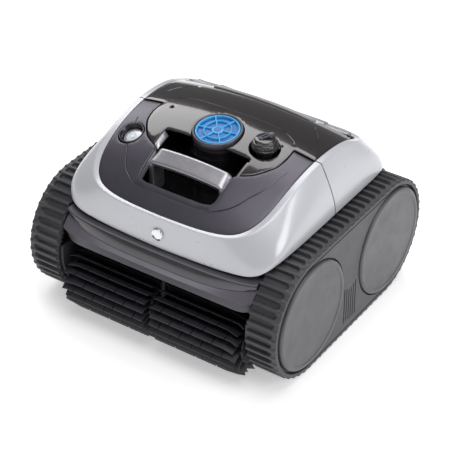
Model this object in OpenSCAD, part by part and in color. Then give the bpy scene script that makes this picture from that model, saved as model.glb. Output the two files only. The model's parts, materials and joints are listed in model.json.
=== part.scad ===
// Cordless tracked pool cleaner, built as separate pieces that go together with real joints.
// X points to the cleaner's right side, -Y is the front with the roller brush, Z is up.
// The origin is on the floor, at the middle of the whole cleaner.

/* [Tracks] */
// Distance between the front and rear wheel axles
wheelbase = 211; // [209:0.5:212]
// Outer radius of a track over its lugs, which is also the axle height
track_r = 94.4; // [94:0.1:94.6]
// Distance between the outer faces of the two belts
track_span = 422; // [420:1:424]
// Width of a track belt
belt_w = 48; // [47:0.5:48]
// Height of a tread lug
lug_h = 2.2; // [1.5:0.1:2.4]
// Number of tread lugs on each belt
lug_count = 70; // [60:2:76]

/* [Brush] */
// Height of the brush roller's axis
brush_z = 53; // [53:0.5:54]
// Radius of the brush over its blades
brush_r = 52; // [48:0.5:52]
// Rows of blades round each roller
blade_rows = 24; // [16:2:28]
// Width of one blade along the roller
blade_w = 34; // [30:1:34]

/* [Lid] */
// Height of the lid's hinge axis
hinge_z = 238.5; // [238:0.25:239]
// Radius of the hinge cover
hinge_cover_r = 12; // [11.6:0.1:12]
// Thickness of the lid and the top cover
panel_t = 3.4; // [2.8:0.2:3.6]

/* [Controls] */
// Radius of the power button
button_r = 14.5; // [12:0.5:14.5]
// Radius of the charging port's cap
cap_r = 19.3; // [17:0.1:19.3]
// Number of grip teeth round the cap
cap_teeth = 30; // [20:2:36]

/* [Hidden] */

$fn = 96;
eps = 0.01;
run_gap = 0.05;       // radial clearance of a shaft in its bearing
move_gap = 0.3;       // clearance between large moving faces

axle_y = wheelbase / 2;
axle_z = track_r;
belt_x = track_span / 2 - belt_w;     // inner edge of the right belt
belt_out_r = track_r - lug_h;
belt_t = 5.2;
belt_in_r = belt_out_r - belt_t;
drum_r = belt_in_r - move_gap;
drum_x = belt_x + 2;
drum_w = 39;
disc_r = 82.5;
axle_r = 6;
hull_x = 152;         // outer face of the hull's side wall
hull_front = -100;
hull_rear = 150;
hull_floor = 24;
wall = 4;
deck_z = 221;
ledge_z = 192;        // flange that carries the shells, just above the belts
nose_front = -150;
nose_z = 110;
nose_top = 158;
brush_y = -156;
front_x = 208;        // depth of the cleaner in front of the origin and behind it

// Gear train: a ring gear inside each front wheel turns the brush, and a motor pinion drives it
ring_teeth = 72;
pinion_teeth = 12;
brush_angle = atan2(brush_z - axle_z, brush_y + axle_y);
gear_offset = norm([brush_z - axle_z, brush_y + axle_y]);
gear_m = 2 * gear_offset / (ring_teeth - pinion_teeth);
ring_r = gear_m * ring_teeth / 2;
pinion_r = gear_m * pinion_teeth / 2;
motor_angle = brush_angle + 22 * 360 / ring_teeth;
motor_y = -axle_y + gear_offset * cos(motor_angle);
motor_z = axle_z + gear_offset * sin(motor_angle);

pump_y = -25;
duct_r = 35;
ring_out_r = 36;
grille_r = 32.4;
hinge_y = 114;
port = [76, -20];
button = [-117, -71.5];
seam_y = -2;

// ---- the crowned top surface and the outlines on it -------------------------------------

// Height of the top surface, which falls away faster behind y = 60
function top_z(x, y) =
    280.6 + 0.0589 * y - 0.002037 * y * y - 0.000623 * x * x - 0.00216 * pow(max(y - 60, 0), 2);

// Outline of the top opening in the shells: right half, from the nose to the seam
nose_edge = [[0, -166], [33, -165], [64, -162.5], [92, -157.5], [112, -150], [126, -138], [135, -122],
    [140, -104], [143, -78], [144.6, -48], [145.6, -20], [146, -1]];
// Bottom edge of the front shell, point for point with nose_edge
nose_hem = [[0, -172, 164], [38, -171.4, 164.6], [76, -170.4, 165.4], [110, -168.8, 167], [138, -166, 169.5],
    [156, -160.5, 174], [168, -151, 181.5], [175, -139, 188], [179, -120, 191.5], [180.6, -84, 192],
    [181, -40, 192], [181, -1, 192]];
// Outline of the top opening: right half, from the seam to the middle of the rear, with how far
// each point lies below the top surface
tail_edge = [[146, 1, 0], [146.6, 30, 0], [146.6, 60, 0], [146.2, 84, 0], [145.5, 99, 0], [143.5, 110, 0],
    [138, 119, 0], [128, 125, 0], [110, 127.5, 0], [60, 127.5, 5], [0, 127.5, 7]];
// Bottom edge of the rear shell, point for point with tail_edge
tail_hem = [[181, 1, 192], [181, 40, 192], [181, 84, 192], [180, 116, 191], [176, 138, 188],
    [168, 152, 183], [156, 162, 175], [140, 169, 168], [118, 174, 165], [70, 177.5, 164], [0, 178, 164]];

// Right half of an outline with the left half mirrored onto it
function mirrored(half) =
    concat(half, [for (i = [len(half) - 1:-1:0]) if (half[i][0] > 0) [-half[i][0], half[i][1]]]);

// Edge of the lid's rounded tongue, right half, from the seam forward to the handle well
tongue_edge = [[111, 1], [112, -12], [112, -26], [108.5, -42], [100, -56], [90, -68], [79, -75.5], [70, -80]];

// Power of a bell-shaped fall towards the cleaner's ends
function ends(x, reach, power) = pow(abs(x) / reach, power);

// ---- shared solids ------------------------------------------------------------------------

// Extrudes a sketch drawn in (Y, Z) along X
module along_x(x, length) {
    translate([x, 0, 0])
        rotate([90, 0, 90])
            linear_extrude(length)
                children();
}

// The same piece on both sides of the cleaner
module both_sides() {
    children();
    mirror([1, 0, 0])
        children();
}

module x_rod(x, y, z, r, length) {
    translate([x, y, z])
        rotate([0, 90, 0])
            cylinder(r = r, h = length);
}

module z_box(x0, x1, y0, y1, z0, z1) {
    translate([x0, y0, z0])
        cube([x1 - x0, y1 - y0, z1 - z0]);
}

// Slab between two depths below the top surface
module top_slab(upper, lower, x_steps = 20, y_steps = 22) {
    x0 = -150;
    dx = 300 / x_steps;
    y0 = -172;
    dy = 304 / y_steps;
    layer = [for (depth = [upper, lower])
        [for (i = [0:x_steps])
            for (j = [0:y_steps])
                let (x = x0 + i * dx, y = y0 + j * dy)
                    [x, y, top_z(x, y) - depth]]];
    count = (x_steps + 1) * (y_steps + 1);
    function id(i, j) = i * (y_steps + 1) + j;
    border = concat([for (i = [0:x_steps - 1]) id(i, 0)], [for (j = [0:y_steps - 1]) id(x_steps, j)],
        [for (i = [x_steps:-1:1]) id(i, y_steps)], [for (j = [y_steps:-1:1]) id(0, j)]);
    edge_count = len(border);
    faces = concat(
        [for (i = [0:x_steps - 1], j = [0:y_steps - 1], half = [0, 1])
            half == 0 ? [id(i, j), id(i, j + 1), id(i + 1, j + 1)] : [id(i, j), id(i + 1, j + 1), id(i + 1, j)]],
        [for (i = [0:x_steps - 1], j = [0:y_steps - 1], half = [0, 1])
            half == 0 ? [count + id(i, j), count + id(i + 1, j + 1), count + id(i, j + 1)]
                : [count + id(i, j), count + id(i + 1, j), count + id(i + 1, j + 1)]],
        [for (k = [0:edge_count - 1], half = [0, 1])
            let (a = border[k], b = border[(k + 1) % edge_count])
                half == 0 ? [a, b, count + b] : [a, count + b, count + a]]);
    polyhedron(points = concat(layer[0], layer[1]), faces = faces, convexity = 4);
}

// Closed skin from a grid of rings: outer rings top to bottom, then inner rings bottom to top
module ring_loft(rings) {
    n = len(rings[0]);
    m = len(rings);
    points = [for (ring = rings) each ring];
    sides = [for (j = [0:m - 1], i = [0:n - 2], half = [0, 1])
        let (a = j * n + i, b = ((j + 1) % m) * n + i)
            half == 0 ? [a, a + 1, b] : [a + 1, b + 1, b]];
    first_end = [for (j = [0:m - 1]) j * n];
    last_end = [for (j = [m - 1:-1:0]) j * n + n - 1];
    polyhedron(points = points, faces = concat(sides, [first_end, last_end]), convexity = 8);
}

// Cubic Bezier point
function bezier(a, b, c, d, t) =
    pow(1 - t, 3) * a + 3 * t * pow(1 - t, 2) * b + 3 * t * t * (1 - t) * c + pow(t, 3) * d;

// Outward direction in plan at point i of a half outline; it has no X part on the centre line
function outward(list, i) =
    let (a = list[max(i - 1, 0)], b = list[min(i + 1, len(list) - 1)],
        v = [list[i][0] == 0 ? 0 : b[1] - a[1], a[0] - b[0]])
        v / norm(v);

// Point i of a shell at station t, from its top edge to its hem
function shell_point(edges, hems, i, t) =
    let (n = outward(edges, i), side = pow(min(abs(edges[i][0]) / 146, 1), 2), shoulder = 5 + 11 * side,
        rise = 30 + 6 * side, edge = edges[i], hem = hems[i])
        bezier(edge, edge + [n[0] * shoulder, n[1] * shoulder, 0], hem + [0, 0, rise], hem, t);

shell_t = 2.6;
shell_steps = 8;

// Grid of a shell's outer skin; rows run round the cleaner from one seam to the other
function shell_grid(edges, hems, back) =
    [for (k = [0:shell_steps])
        let (half = [for (i = [0:len(edges) - 1]) shell_point(edges, hems, i, k / shell_steps)],
            other = [for (i = [len(half) - 1:-1:0]) if (half[i][0] > 0) [-half[i][0], half[i][1], half[i][2]]])
            back ? concat(half, other) : concat(other, half)];

// Unit normal of a grid at row k and column i, pointing out of the cleaner
function grid_normal(grid, k, i) =
    let (last_row = len(grid) - 1, last = len(grid[0]) - 1,
        along = grid[k][min(i + 1, last)] - grid[k][max(i - 1, 0)],
        down = grid[min(k + 1, last_row)][i] - grid[max(k - 1, 0)][i], n = cross(down, along))
        n / norm(n);

// Shell of even thickness
module shell(edges, hems, back) {
    outer = shell_grid(edges, hems, back);
    inner = [for (k = [shell_steps:-1:0])
        [for (i = [0:len(outer[0]) - 1])
            outer[k][i] - shell_t * grid_normal(outer, k, i)]];
    ring_loft(concat(outer, inner));
}

// ---- gears ----------------------------------------------------------------------------------

gear_backlash = 0.5;
gear_flank = 20;

// Half width of a tooth at radius r, as an angle
function tooth_half(r, pitch_r, play) =
    (PI * gear_m / 4 + play / 2 - (r - pitch_r) * tan(gear_flank)) / r * 180 / PI;

// Toothed outline: tooth 0 points along the first axis
module gear_outline(teeth, inner_r, outer_r, play) {
    pitch_r = gear_m * teeth / 2;
    step = 360 / teeth;
    polygon([for (i = [0:teeth - 1], c = [[-1, inner_r], [-1, outer_r], [1, outer_r], [1, inner_r]])
        let (a = i * step + c[0] * tooth_half(c[1], pitch_r, play))
            c[1] * [cos(a), sin(a)]]);
}

module pinion_outline() {
    gear_outline(pinion_teeth, pinion_r - 1.25 * gear_m, pinion_r + 0.8 * gear_m, -gear_backlash);
}

module ring_hole_outline() {
    gear_outline(ring_teeth, ring_r - 0.85 * gear_m, ring_r + 1.1 * gear_m, gear_backlash);
}

// ---- hull and covers -------------------------------------------------------------------------

module hull_tub() color("#4b4a50") {
    difference() {
        union() {
            z_box(-hull_x, hull_x, hull_front, hull_rear, hull_floor, ledge_z);
            z_box(-hull_x, hull_x, nose_front, hull_front + wall, nose_z, nose_top);
            both_sides()
                z_box(hull_x - wall, 176, -116, 114, ledge_z, ledge_z + wall);
            both_sides()
                for (y = [-axle_y, axle_y])
                    x_rod(hull_x - eps, y, axle_z, 13, 5);
        }
        z_box(-hull_x + wall, hull_x - wall, hull_front + wall, hull_rear - wall, hull_floor + wall, 260);
        z_box(-hull_x + wall, hull_x - wall, nose_front + wall, hull_front + 2 * wall, nose_z + wall, 260);
        for (side = [-1, 1]) {
            z_box(side * 55 - 42, side * 55 + 42, 26, 62, 0, 60);
            x_rod(side > 0 ? 140 : -180, motor_y, motor_z, 8.4, 40);
            for (y = [-axle_y, axle_y])
                x_rod(side > 0 ? 140 : -180, y, axle_z, axle_r, 40);
        }
    }
    both_sides()
        for (y = [-24, 96])
            translate([140, y, hull_floor + wall - eps])
                cylinder(r = 5, h = deck_z - hull_floor - wall + eps);
}

// Bottom cover with the two suction mouths
module bottom_plate() color("#3f3e44") {
    difference() {
        z_box(-140, 140, -90, 140, 19, hull_floor);
        for (side = [-1, 1])
            z_box(side * 55 - 38, side * 55 + 38, 30, 58, 0, 70);
        for (x = [-120:240:120], y = [-75, 125])
            translate([x, y, 18])
                cylinder(r = 2.1, h = 10);
    }
}

// Throats that rise into the basket, each with the hinge rod of its inlet flap
module suction_throats() color("#46454b") {
    for (side = [-1, 1]) {
        difference() {
            z_box(side * 55 - 41, side * 55 + 41, 27, 61, hull_floor, 62);
            z_box(side * 55 - 38, side * 55 + 38, 30, 58, 0, 70);
        }
        for (x = [-41, 38])
            z_box(side * 55 + x, side * 55 + x + 3, 58, 65, 61.9, 67);
        x_rod(side * 55 - 40, 63, 64.5, 1.5, 80);
    }
}

// Inner deck: carries the basket, the gasket and the pump duct
module deck_frame() color("#55545b") {
    difference() {
        z_box(-150, 150, -44, 100, deck_z, deck_z + wall);
        z_box(-127, 127, 15, 97, 200, 240);
        translate([0, pump_y, 200])
            cylinder(r = duct_r + 0.4, h = 40);
        translate([port[0], port[1], 200])
            cylinder(r = 13.2, h = 40);
        z_box(-73, 73, -60, -43, 200, 240);
    }
}

module front_skin() {
    shell([for (p = nose_edge) [p[0], p[1], top_z(p[0], p[1])]], nose_hem, false);
}

module front_shell() color("#eceef1") front_skin();

module rear_shell() color("#e6e8eb") {
    shell([for (p = tail_edge) [p[0], p[1], top_z(p[0], p[1]) - p[2]]], tail_hem, true);
}

// Dark strips and trough behind the lid, with the fixed hinge knuckles
module rear_deck() color("#8b8b92") {
    trough_r = hinge_cover_r + 0.6;
    knuckle_w = 26;
    strip_r = 9;
    strip_w = 39.4;
    difference() {
        union() {
            intersection() {
                x_rod(-137, hinge_y, hinge_z, trough_r + 2.4, 274);
                z_box(-140, 140, 90, 140, 200, 231);
            }
            both_sides()
                x_rod(91.6, hinge_y, hinge_z, strip_r, strip_w);
        }
        x_rod(-91.6, hinge_y, hinge_z, trough_r, 183.2);
        x_rod(-100, hinge_y, hinge_z, 2.52, 200);
        both_sides()
            difference() {
                x_rod(91, hinge_y, hinge_z, trough_r, 44);
                x_rod(91, hinge_y, hinge_z, strip_r, 46);
            }
    }
    difference() {
        for (x = [-48, 22]) {
            x_rod(x, hinge_y, hinge_z, 7, knuckle_w);
            z_box(x, x + knuckle_w, hinge_y - 7, hinge_y - 1.5, hinge_z - trough_r - 1, hinge_z);
        }
        x_rod(-100, hinge_y, hinge_z, 2.52, 200);
    }
}

cover_gap = 1.6;      // between the front cover and the shell round it

module cover_outline() {
    polygon(mirrored([for (p = nose_edge) p - cover_gap * [p[0] > 0 ? 1 : 0, p[1] < -20 ? -1 : 0]]));
}

module tongue_outline(grow) {
    offset(delta = grow)
        polygon(concat(tongue_edge, [for (i = [len(tongue_edge) - 1:-1:0]) [-tongue_edge[i][0],
            tongue_edge[i][1]]]));
}

// Handle recess seen from above
module recess_outline() {
    polygon(mirrored([[0, -48], [70, -48], [72, -54], [72, -79], [66, -82], [64, -110], [63, -126], [58, -131],
        [46, -133.6], [0, -135]]));
}

module front_cover() color("#5c5862") {
    difference() {
        front_cover_plate();
        at_button()
            translate([0, 0, -20])
                cylinder(r = 18.9, h = 40);
    }
}

module front_cover_plate() {
    intersection() {
        linear_extrude(300)
            difference() {
                intersection() {
                    cover_outline();
                    translate([-160, -180])
                        square([320, 180 + seam_y]);
                }
                tongue_outline(1.2);
                recess_outline();
            }
        top_slab(0, panel_t);
    }
}

// Black pocket under the handle, shaped round the pump duct
module handle_well() color("#1d1c20") {
    difference() {
        z_box(-76, 76, -139, -49, 192, 252);
        difference() {
            z_box(-73, 73, -136, -45, 195, 260);
            translate([0, pump_y, 190])
                cylinder(r = duct_r + 3.4, h = 70);
        }
        translate([0, pump_y, 180])
            cylinder(r = duct_r + 0.4, h = 90);
        intersection() {
            z_box(-80, 80, -145, -40, 190, 300);
            top_slab(-60, panel_t + 3);
        }
    }
}

module handle_bar() color("#9a989f") {
    difference() {
        union() {
            intersection() {
                z_box(-63.5, 63.5, -105, -82.5, 200, 300);
                top_slab(0.2, 11);
            }
            both_sides()
                z_box(57, 63.5, -103, -85, 195, 254);
        }
        both_sides()
            translate([70, -94, 194])
                cylinder(r = 3, h = 3);
    }
}

// ---- power button ------------------------------------------------------------------------------

button_turn = [19.1, -8.3, 0];        // leans the button with the surface round it
button_depth = 9;

module at_button() {
    translate([button[0], button[1], top_z(button[0], button[1])])
        rotate(button_turn)
            children();
}

module button_seat() color("#77747d") {
    at_button()
        difference() {
            translate([0, 0, -button_depth - 8])
                cylinder(r = 18.6, h = button_depth + 8);
            translate([0, 0, -button_depth - 5])
                cylinder(r = button_r + 0.4, h = 40);
            translate([0, 0, -button_depth - 12])
                cylinder(r = 4 + run_gap, h = 30);
        }
}

module power_button() color("#c9cacf") {
    at_button() {
        translate([0, 0, -button_depth - 2])
            cylinder(r = button_r, h = 4);
        translate([0, 0, -button_depth - 12])
            cylinder(r = 4, h = 11);
    }
}

// ---- charging port -----------------------------------------------------------------------------

port_top = 281;

module charge_port() color("#2a2930") {
    difference() {
        union() {
            translate([port[0], port[1], 214])
                cylinder(r = 13, h = port_top - 214);
            translate([port[0], port[1], 211])
                cylinder(r = 17, h = 10);
        }
        translate([port[0], port[1], 262])
            cylinder(r = 8, h = 40);
    }
    for (a = [0:120:240])
        translate([port[0] + 4 * cos(a), port[1] + 4 * sin(a), 261])
            cylinder(r = 1.2, h = 12);
}

module port_cap() color("#3b3940") {
    collar_z = 275;
    collar_h = 10.5;
    disc_h = 5.5;
    difference() {
        translate([port[0], port[1], collar_z]) {
            cylinder(r = cap_r - 0.8, h = collar_h);
            for (i = [0:cap_teeth - 1])
                rotate([0, 0, i * 360 / cap_teeth])
                    translate([cap_r - 1.8, -1.1, 0])
                        cube([1.8, 2.2, collar_h - 2]);
            cylinder(r = 15, h = collar_h + disc_h);
            rotate([0, 0, 52])
                z_box(-3, 13, -2.2, 2.2, collar_h + disc_h - 0.5, collar_h + disc_h + 7);
        }
        translate([port[0], port[1], 270])
            cylinder(r = 13 + run_gap, h = port_top - 270 + 0.3);
    }
}

module badge() color("#c8ccd2") {
    difference() {
        translate([0, -171.3, 187])
            rotate([86, 0, 0])
                difference() {
                    cylinder(r = 9.5, h = 3.2);
                    translate([0, 0, 2.4])
                        cylinder(r = 7.6, h = 3);
                }
        translate([0, -0.1, 0])
            front_skin();
    }
}

// ---- bumpers -----------------------------------------------------------------------------------

bumper_end = 161;
bumper_steps = 28;

// Edge lines of the front bumper at a distance x from the middle
function rim_y(x) = -178 + 25 * (1 - pow(1 - ends(x, 172, 4), 0.25)) + 1.5 * ends(x, 120, 2);
function rim_z(x) = 161.6 + 0.427 * (rim_y(x) + 178);
function lens_y(x) = -184 + 17 * ends(x, 163, 3.5);
function lens_z(x) = 142 + 14 * ends(x, 163, 4);
function lip_y(x) = -188 + 2 * ends(x, 145, 2) + 14 * ends(x, 170, 24);
function lip_z(x) = 135 + 2.3 * ends(x, 145, 2) + 13 * ends(x, 170, 24);
function brow_y(x) = -181 + 8 * ends(x, bumper_end, 20);
function brow_z(x) = 118 + 12 * ends(x, bumper_end, 20);

// Loft of one section function over the bumper's width; sections are lists of [y, z]
module bumper_loft(sections, xs) {
    n = len(sections[0]);
    m = len(xs);
    points = [for (k = [0:m - 1], p = sections[k]) [xs[k], p[0], p[1]]];
    faces = concat(
        [[for (i = [0:n - 1]) i]],
        [[for (i = [n - 1:-1:0]) (m - 1) * n + i]],
        [for (k = [0:m - 2], i = [0:n - 1], half = [0, 1])
            let (a = k * n + i, b = k * n + (i + 1) % n)
                half == 0 ? [a, a + n, b] : [b, a + n, b + n]]);
    polyhedron(points = points, faces = faces, convexity = 4);
}

bumper_xs = [for (k = [0:bumper_steps]) let (s = 2 * k / bumper_steps - 1) bumper_end * s * (1.35 - 0.35 * s * s)];
lens_t = 2.4;

module front_bumper() color("#514f57") {
    back_y = nose_front - 1;
    bumper_loft([for (x = bumper_xs) [[back_y, rim_z(x)], [rim_y(x), rim_z(x)],
        [rim_y(x) - 0.8, rim_z(x) - 3.5], [rim_y(x) + lens_t + 0.6, rim_z(x) - 3.7],
        [lens_y(x) + lens_t + 0.6, lens_z(x)], [lip_y(x) + 5.6, lip_z(x) + 0.4],
        [lip_y(x) + 5.6, lip_z(x) - 0.5], [lip_y(x) + 1.2, lip_z(x) - 0.7],
        [brow_y(x), brow_z(x)], [back_y, 112]]], bumper_xs);
}

module bumper_lens() color("#2c2a31") {
    bumper_loft([for (x = bumper_xs) [[rim_y(x) + lens_t - 0.1, rim_z(x) - 4], [rim_y(x) - 0.9, rim_z(x) - 4],
        [lens_y(x), lens_z(x)], [lens_y(x) + lens_t, lens_z(x) + 0.1]]], bumper_xs);
}

module bumper_lip() color("#a7a4ac") {
    bumper_loft([for (x = bumper_xs) [[lens_y(x) + lens_t, lens_z(x) - 0.2], [lens_y(x), lens_z(x) - 0.2],
        [lip_y(x), lip_z(x)], [lip_y(x) + 5, lip_z(x) + 0.4]]], bumper_xs);
}

// Rear bumper, rounded in plan, with the handle lip's twin below the rear shell
module rear_bumper() color("#514f57") {
    intersection() {
        z_box(-bumper_end, bumper_end, hull_rear + eps, front_x, 100, 161);
        along_x(-170, 340)
            polygon([[150, 161], [180, 161], [188, 150], [front_x, 136], [200, 124], [180, 108], [150, 100]]);
        translate([0, front_x - 420, 90])
            cylinder(r = 420, h = 80, $fn = 200);
    }
}

// ---- brush -------------------------------------------------------------------------------------

module brush_bracket() color("#3a3940") {
    difference() {
        union() {
            along_x(-3, 6)
                hull() {
                    translate([brush_y, brush_z])
                        circle(10, $fn = 32);
                    translate([brush_y + 8, nose_z - 1])
                        square([24, 2], center = true);
                }
            x_rod(-16, brush_y, brush_z, 4, 32);
        }
    }
}

// Plates that close the brush bay beside each track and hold the rollers' outer bearings
module brush_end_plates() color("#6b6970") {
    both_sides()
        difference() {
            union() {
                along_x(157, 4)
                    intersection() {
                        translate([-axle_y, axle_z])
                            circle(85);
                        translate([-200, 6])
                            square([150, 200]);
                    }
                for (z = [60, 140])
                    x_rod(hull_x, -70, z, 6, 6);
            }
            z_box(150, 170, -200, nose_front + 0.5, nose_z + 0.5, 200);
            x_rod(150, -axle_y, axle_z, 13.2, 20);
            x_rod(150, brush_y, brush_z, axle_r + run_gap, 20);
            x_rod(150, motor_y, motor_z, 9, 20);
        }
}

roller_x0 = 5;
roller_x1 = 151;

module roller_core_right() {
    difference() {
        union() {
            x_rod(roller_x0, brush_y, brush_z, 15, roller_x1 - roller_x0);
            x_rod(roller_x1 - eps, brush_y, brush_z, axle_r, 18);
            translate([0, brush_y, brush_z])
                along_x(drum_x + 2.6, 9)
                    rotate([0, 0, brush_angle])
                        pinion_outline();
        }
        x_rod(0, brush_y, brush_z, 4 + run_gap, 17);
    }
}

module left_roller_core() color("#2b2a30") mirror([1, 0, 0]) roller_core_right();

module right_roller_core() color("#2b2a30") roller_core_right();

// Blades stand in rows round a sleeve, with the slits of neighbouring rows half a blade apart
module blades_right() {
    blade_t = 1.8;
    blade_gap = 2;
    pitch = blade_w + blade_gap;
    length = roller_x1 - roller_x0 - 1;
    translate([roller_x0 + 0.5, brush_y, brush_z])
        difference() {
            union() {
                along_x(0, length)
                    circle(19);
                for (phase = [0, 1], k = [0:4]) {
                    start = max(k * pitch - phase * pitch / 2, 0);
                    stop = min(k * pitch - phase * pitch / 2 + blade_w, length);
                    if (stop - start > 4)
                        along_x(start, stop - start)
                            for (i = [0:2:blade_rows - 2])
                                rotate([0, 0, (i + phase) * 360 / blade_rows])
                                    translate([10, -blade_t / 2])
                                        square([brush_r - 10, blade_t]);
                }
            }
            along_x(-1, length + 2)
                circle(15.02);
        }
}

module left_brush_blades() color("#2e2c34") mirror([1, 0, 0]) blades_right();

module right_brush_blades() color("#2e2c34") blades_right();

// ---- tracks ------------------------------------------------------------------------------------

// Outline of a loop round two wheels
module loop_outline(r) {
    for (side = [-1, 1])
        translate([side * axle_y, axle_z])
            circle(r, $fn = 180);
    translate([-axle_y, axle_z - r])
        square([wheelbase, 2 * r]);
}

// Places a sketch on the belt at a length s along it, with its second axis pointing outward
module on_belt(s) {
    bend = PI * belt_out_r;
    if (s < wheelbase)
        translate([axle_y - s, axle_z + belt_out_r])
            children();
    else if (s < wheelbase + bend)
        translate([-axle_y, axle_z])
            rotate([0, 0, (s - wheelbase) / bend * 180])
                translate([0, belt_out_r])
                    children();
    else if (s < 2 * wheelbase + bend)
        translate([-axle_y + (s - wheelbase - bend), axle_z - belt_out_r])
            rotate([0, 0, 180])
                children();
    else
        translate([axle_y, axle_z])
            rotate([0, 0, 180 + (s - 2 * wheelbase - bend) / bend * 180])
                translate([0, belt_out_r])
                    children();
}

module belt_right() {
    loop_length = 2 * wheelbase + 2 * PI * belt_out_r;
    pitch = loop_length / lug_count;
    lug_w = 4.6;
    along_x(belt_x, belt_w)
        difference() {
            union() {
                loop_outline(belt_out_r);
                for (i = [0:lug_count - 1])
                    on_belt((i + 0.5) * pitch)
                        translate([-lug_w / 2, -1])
                            square([lug_w, lug_h + 1]);
            }
            loop_outline(belt_in_r);
        }
}

module left_belt() color("#4f4d53") mirror([1, 0, 0]) belt_right();

module right_belt() color("#4f4d53") belt_right();

// Frame between the wheels: a post from the hull and the flat cover seen between the discs
module side_frame_right() {
    cover_x = 207;
    difference() {
        union() {
            along_x(cover_x, 4)
                difference() {
                    translate([-axle_y, axle_z - belt_in_r + 1.8])
                        square([wheelbase, 2 * belt_in_r - 3.6]);
                    for (side = [-1, 1])
                        translate([side * axle_y, axle_z])
                            circle(disc_r + 2.2);
                }
            z_box(hull_x, cover_x + eps, -14, 14, 24, 170);
        }
        for (i = [-3:2])
            z_box(cover_x + 2.6, cover_x + 6, i * 6 + 1, i * 6 + 3.4, 20, 74 + abs(i + 0.5) * 3);
    }
}

module left_side_frame() color("#5b5960") mirror([1, 0, 0]) side_frame_right();

module right_side_frame() color("#5b5960") side_frame_right();

module wheel_axles() color("#b9bcc2") {
    both_sides()
        for (y = [-axle_y, axle_y])
            difference() {
                x_rod(hull_x - wall, y, axle_z, axle_r, 53);
                x_rod(hull_x + 44, y, axle_z, 2, 12);
            }
}

// Wheel drum that carries the belt, centred on its axle; a geared one has the ring gear inside
module wheel_drum(geared) {
    gear_w = 13;
    hub_r = 13;
    web_x = drum_x + gear_w;
    difference() {
        union() {
            if (geared)
                along_x(drum_x, gear_w)
                    difference() {
                        circle(drum_r, $fn = 180);
                        rotate([0, 0, brush_angle])
                            ring_hole_outline();
                    }
            else
                along_x(drum_x, gear_w)
                    difference() {
                        circle(drum_r, $fn = 180);
                        circle(ring_r + 1);
                    }
            along_x(web_x, 4)
                circle(drum_r, $fn = 180);
            along_x(web_x + 3, drum_w - gear_w - 3)
                difference() {
                    circle(drum_r, $fn = 180);
                    circle(ring_r + 1);
                }
            along_x(drum_x + 4, drum_w - 4)
                circle(hub_r);
        }
        along_x(drum_x - 5, drum_w + 10)
            circle(axle_r + run_gap);
        for (a = [30:60:330])
            along_x(web_x - 1, 6)
                rotate([0, 0, a])
                    translate([46, 0])
                        circle(12);
    }
}

module at_wheel(side, end) {
    mirror([side < 0 ? 1 : 0, 0, 0])
        translate([0, end * axle_y, axle_z])
            children();
}

module front_left_wheel() color("#65636a") at_wheel(-1, -1) wheel_drum(true);

module front_right_wheel() color("#65636a") at_wheel(1, -1) wheel_drum(true);

module rear_left_wheel() color("#65636a") at_wheel(-1, 1) wheel_drum(false);

module rear_right_wheel() color("#65636a") at_wheel(1, 1) wheel_drum(false);

// Cover disc on a wheel's outer face, with a raised border and a locating spigot
module wheel_disc() {
    disc_x = drum_x + drum_w;
    along_x(disc_x, 10)
        difference() {
            circle(disc_r, $fn = 180);
            circle(disc_r - 9, $fn = 180);
        }
    along_x(disc_x + 5, 4.2)
        circle(disc_r - 8, $fn = 180);
    along_x(disc_x - 3, 3)
        difference() {
            circle(ring_r - 0.5);
            circle(ring_r - 4);
        }
    along_x(disc_x, 6)
        difference() {
            circle(20);
            circle(15);
        }
}

module front_left_disc() color("#68666c") at_wheel(-1, -1) wheel_disc();

module front_right_disc() color("#68666c") at_wheel(1, -1) wheel_disc();

module rear_left_disc() color("#68666c") at_wheel(-1, 1) wheel_disc();

module rear_right_disc() color("#68666c") at_wheel(1, 1) wheel_disc();

// ---- drive, power and pump -----------------------------------------------------------------------

module drive_motor_right() {
    nose_end = drum_x - 1;
    difference() {
        union() {
            x_rod(86, motor_y, motor_z, 18, hull_x - wall - 86);
            x_rod(hull_x - wall - eps, motor_y, motor_z, 8, nose_end - hull_x + wall);
        }
        x_rod(nose_end - 16, motor_y, motor_z, 4 + run_gap, 30);
    }
}

module left_drive_motor() color("#6d6f75") mirror([1, 0, 0]) drive_motor_right();

module right_drive_motor() color("#6d6f75") drive_motor_right();

module drive_pinion_right() {
    translate([0, motor_y, motor_z]) {
        along_x(drum_x + 2.6, 9)
            rotate([0, 0, motor_angle])
                pinion_outline();
        along_x(drum_x - 15, 18)
            circle(4);
    }
}

module left_drive_pinion() color("#d8d5c8") mirror([1, 0, 0]) drive_pinion_right();

module right_drive_pinion() color("#d8d5c8") drive_pinion_right();

module battery_pack() color("#35563f") {
    z_box(-78, 78, -92, 4, hull_floor + wall, 112);
    for (x = [-60, 60])
        z_box(x - 4, x + 4, -40, 0, 112, 114);
}

module control_box() color("#2f3640") {
    difference() {
        z_box(-96, 96, -144, -98, nose_z + wall, 152);
        for (x = [-88, 88], y = [-138, -104])
            translate([x, y, 146])
                cylinder(r = 1.6, h = 8);
    }
}

// Leads from the charging port and the control box to the battery and the motors
module wiring_loom() color("#26262b") {
    lead_r = 2;
    lead_y = hull_front + wall + lead_r + 0.1;
    both_sides() {
        x_rod(84, lead_y, 134, lead_r, 24);
        translate([108, lead_y, 80])
            cylinder(r = lead_r, h = 54);
    }
    translate([port[0] + 16, port[1] - 14, 116])
        cylinder(r = lead_r, h = 94);
}

module pump_motor() color("#84868c") {
    difference() {
        union() {
            translate([0, pump_y, 118])
                cylinder(r = 22, h = 84);
            translate([0, pump_y, 201])
                cylinder(r = 9, h = 9);
        }
        translate([0, pump_y, 188])
            cylinder(r = 3 + run_gap, h = 30);
    }
}

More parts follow.
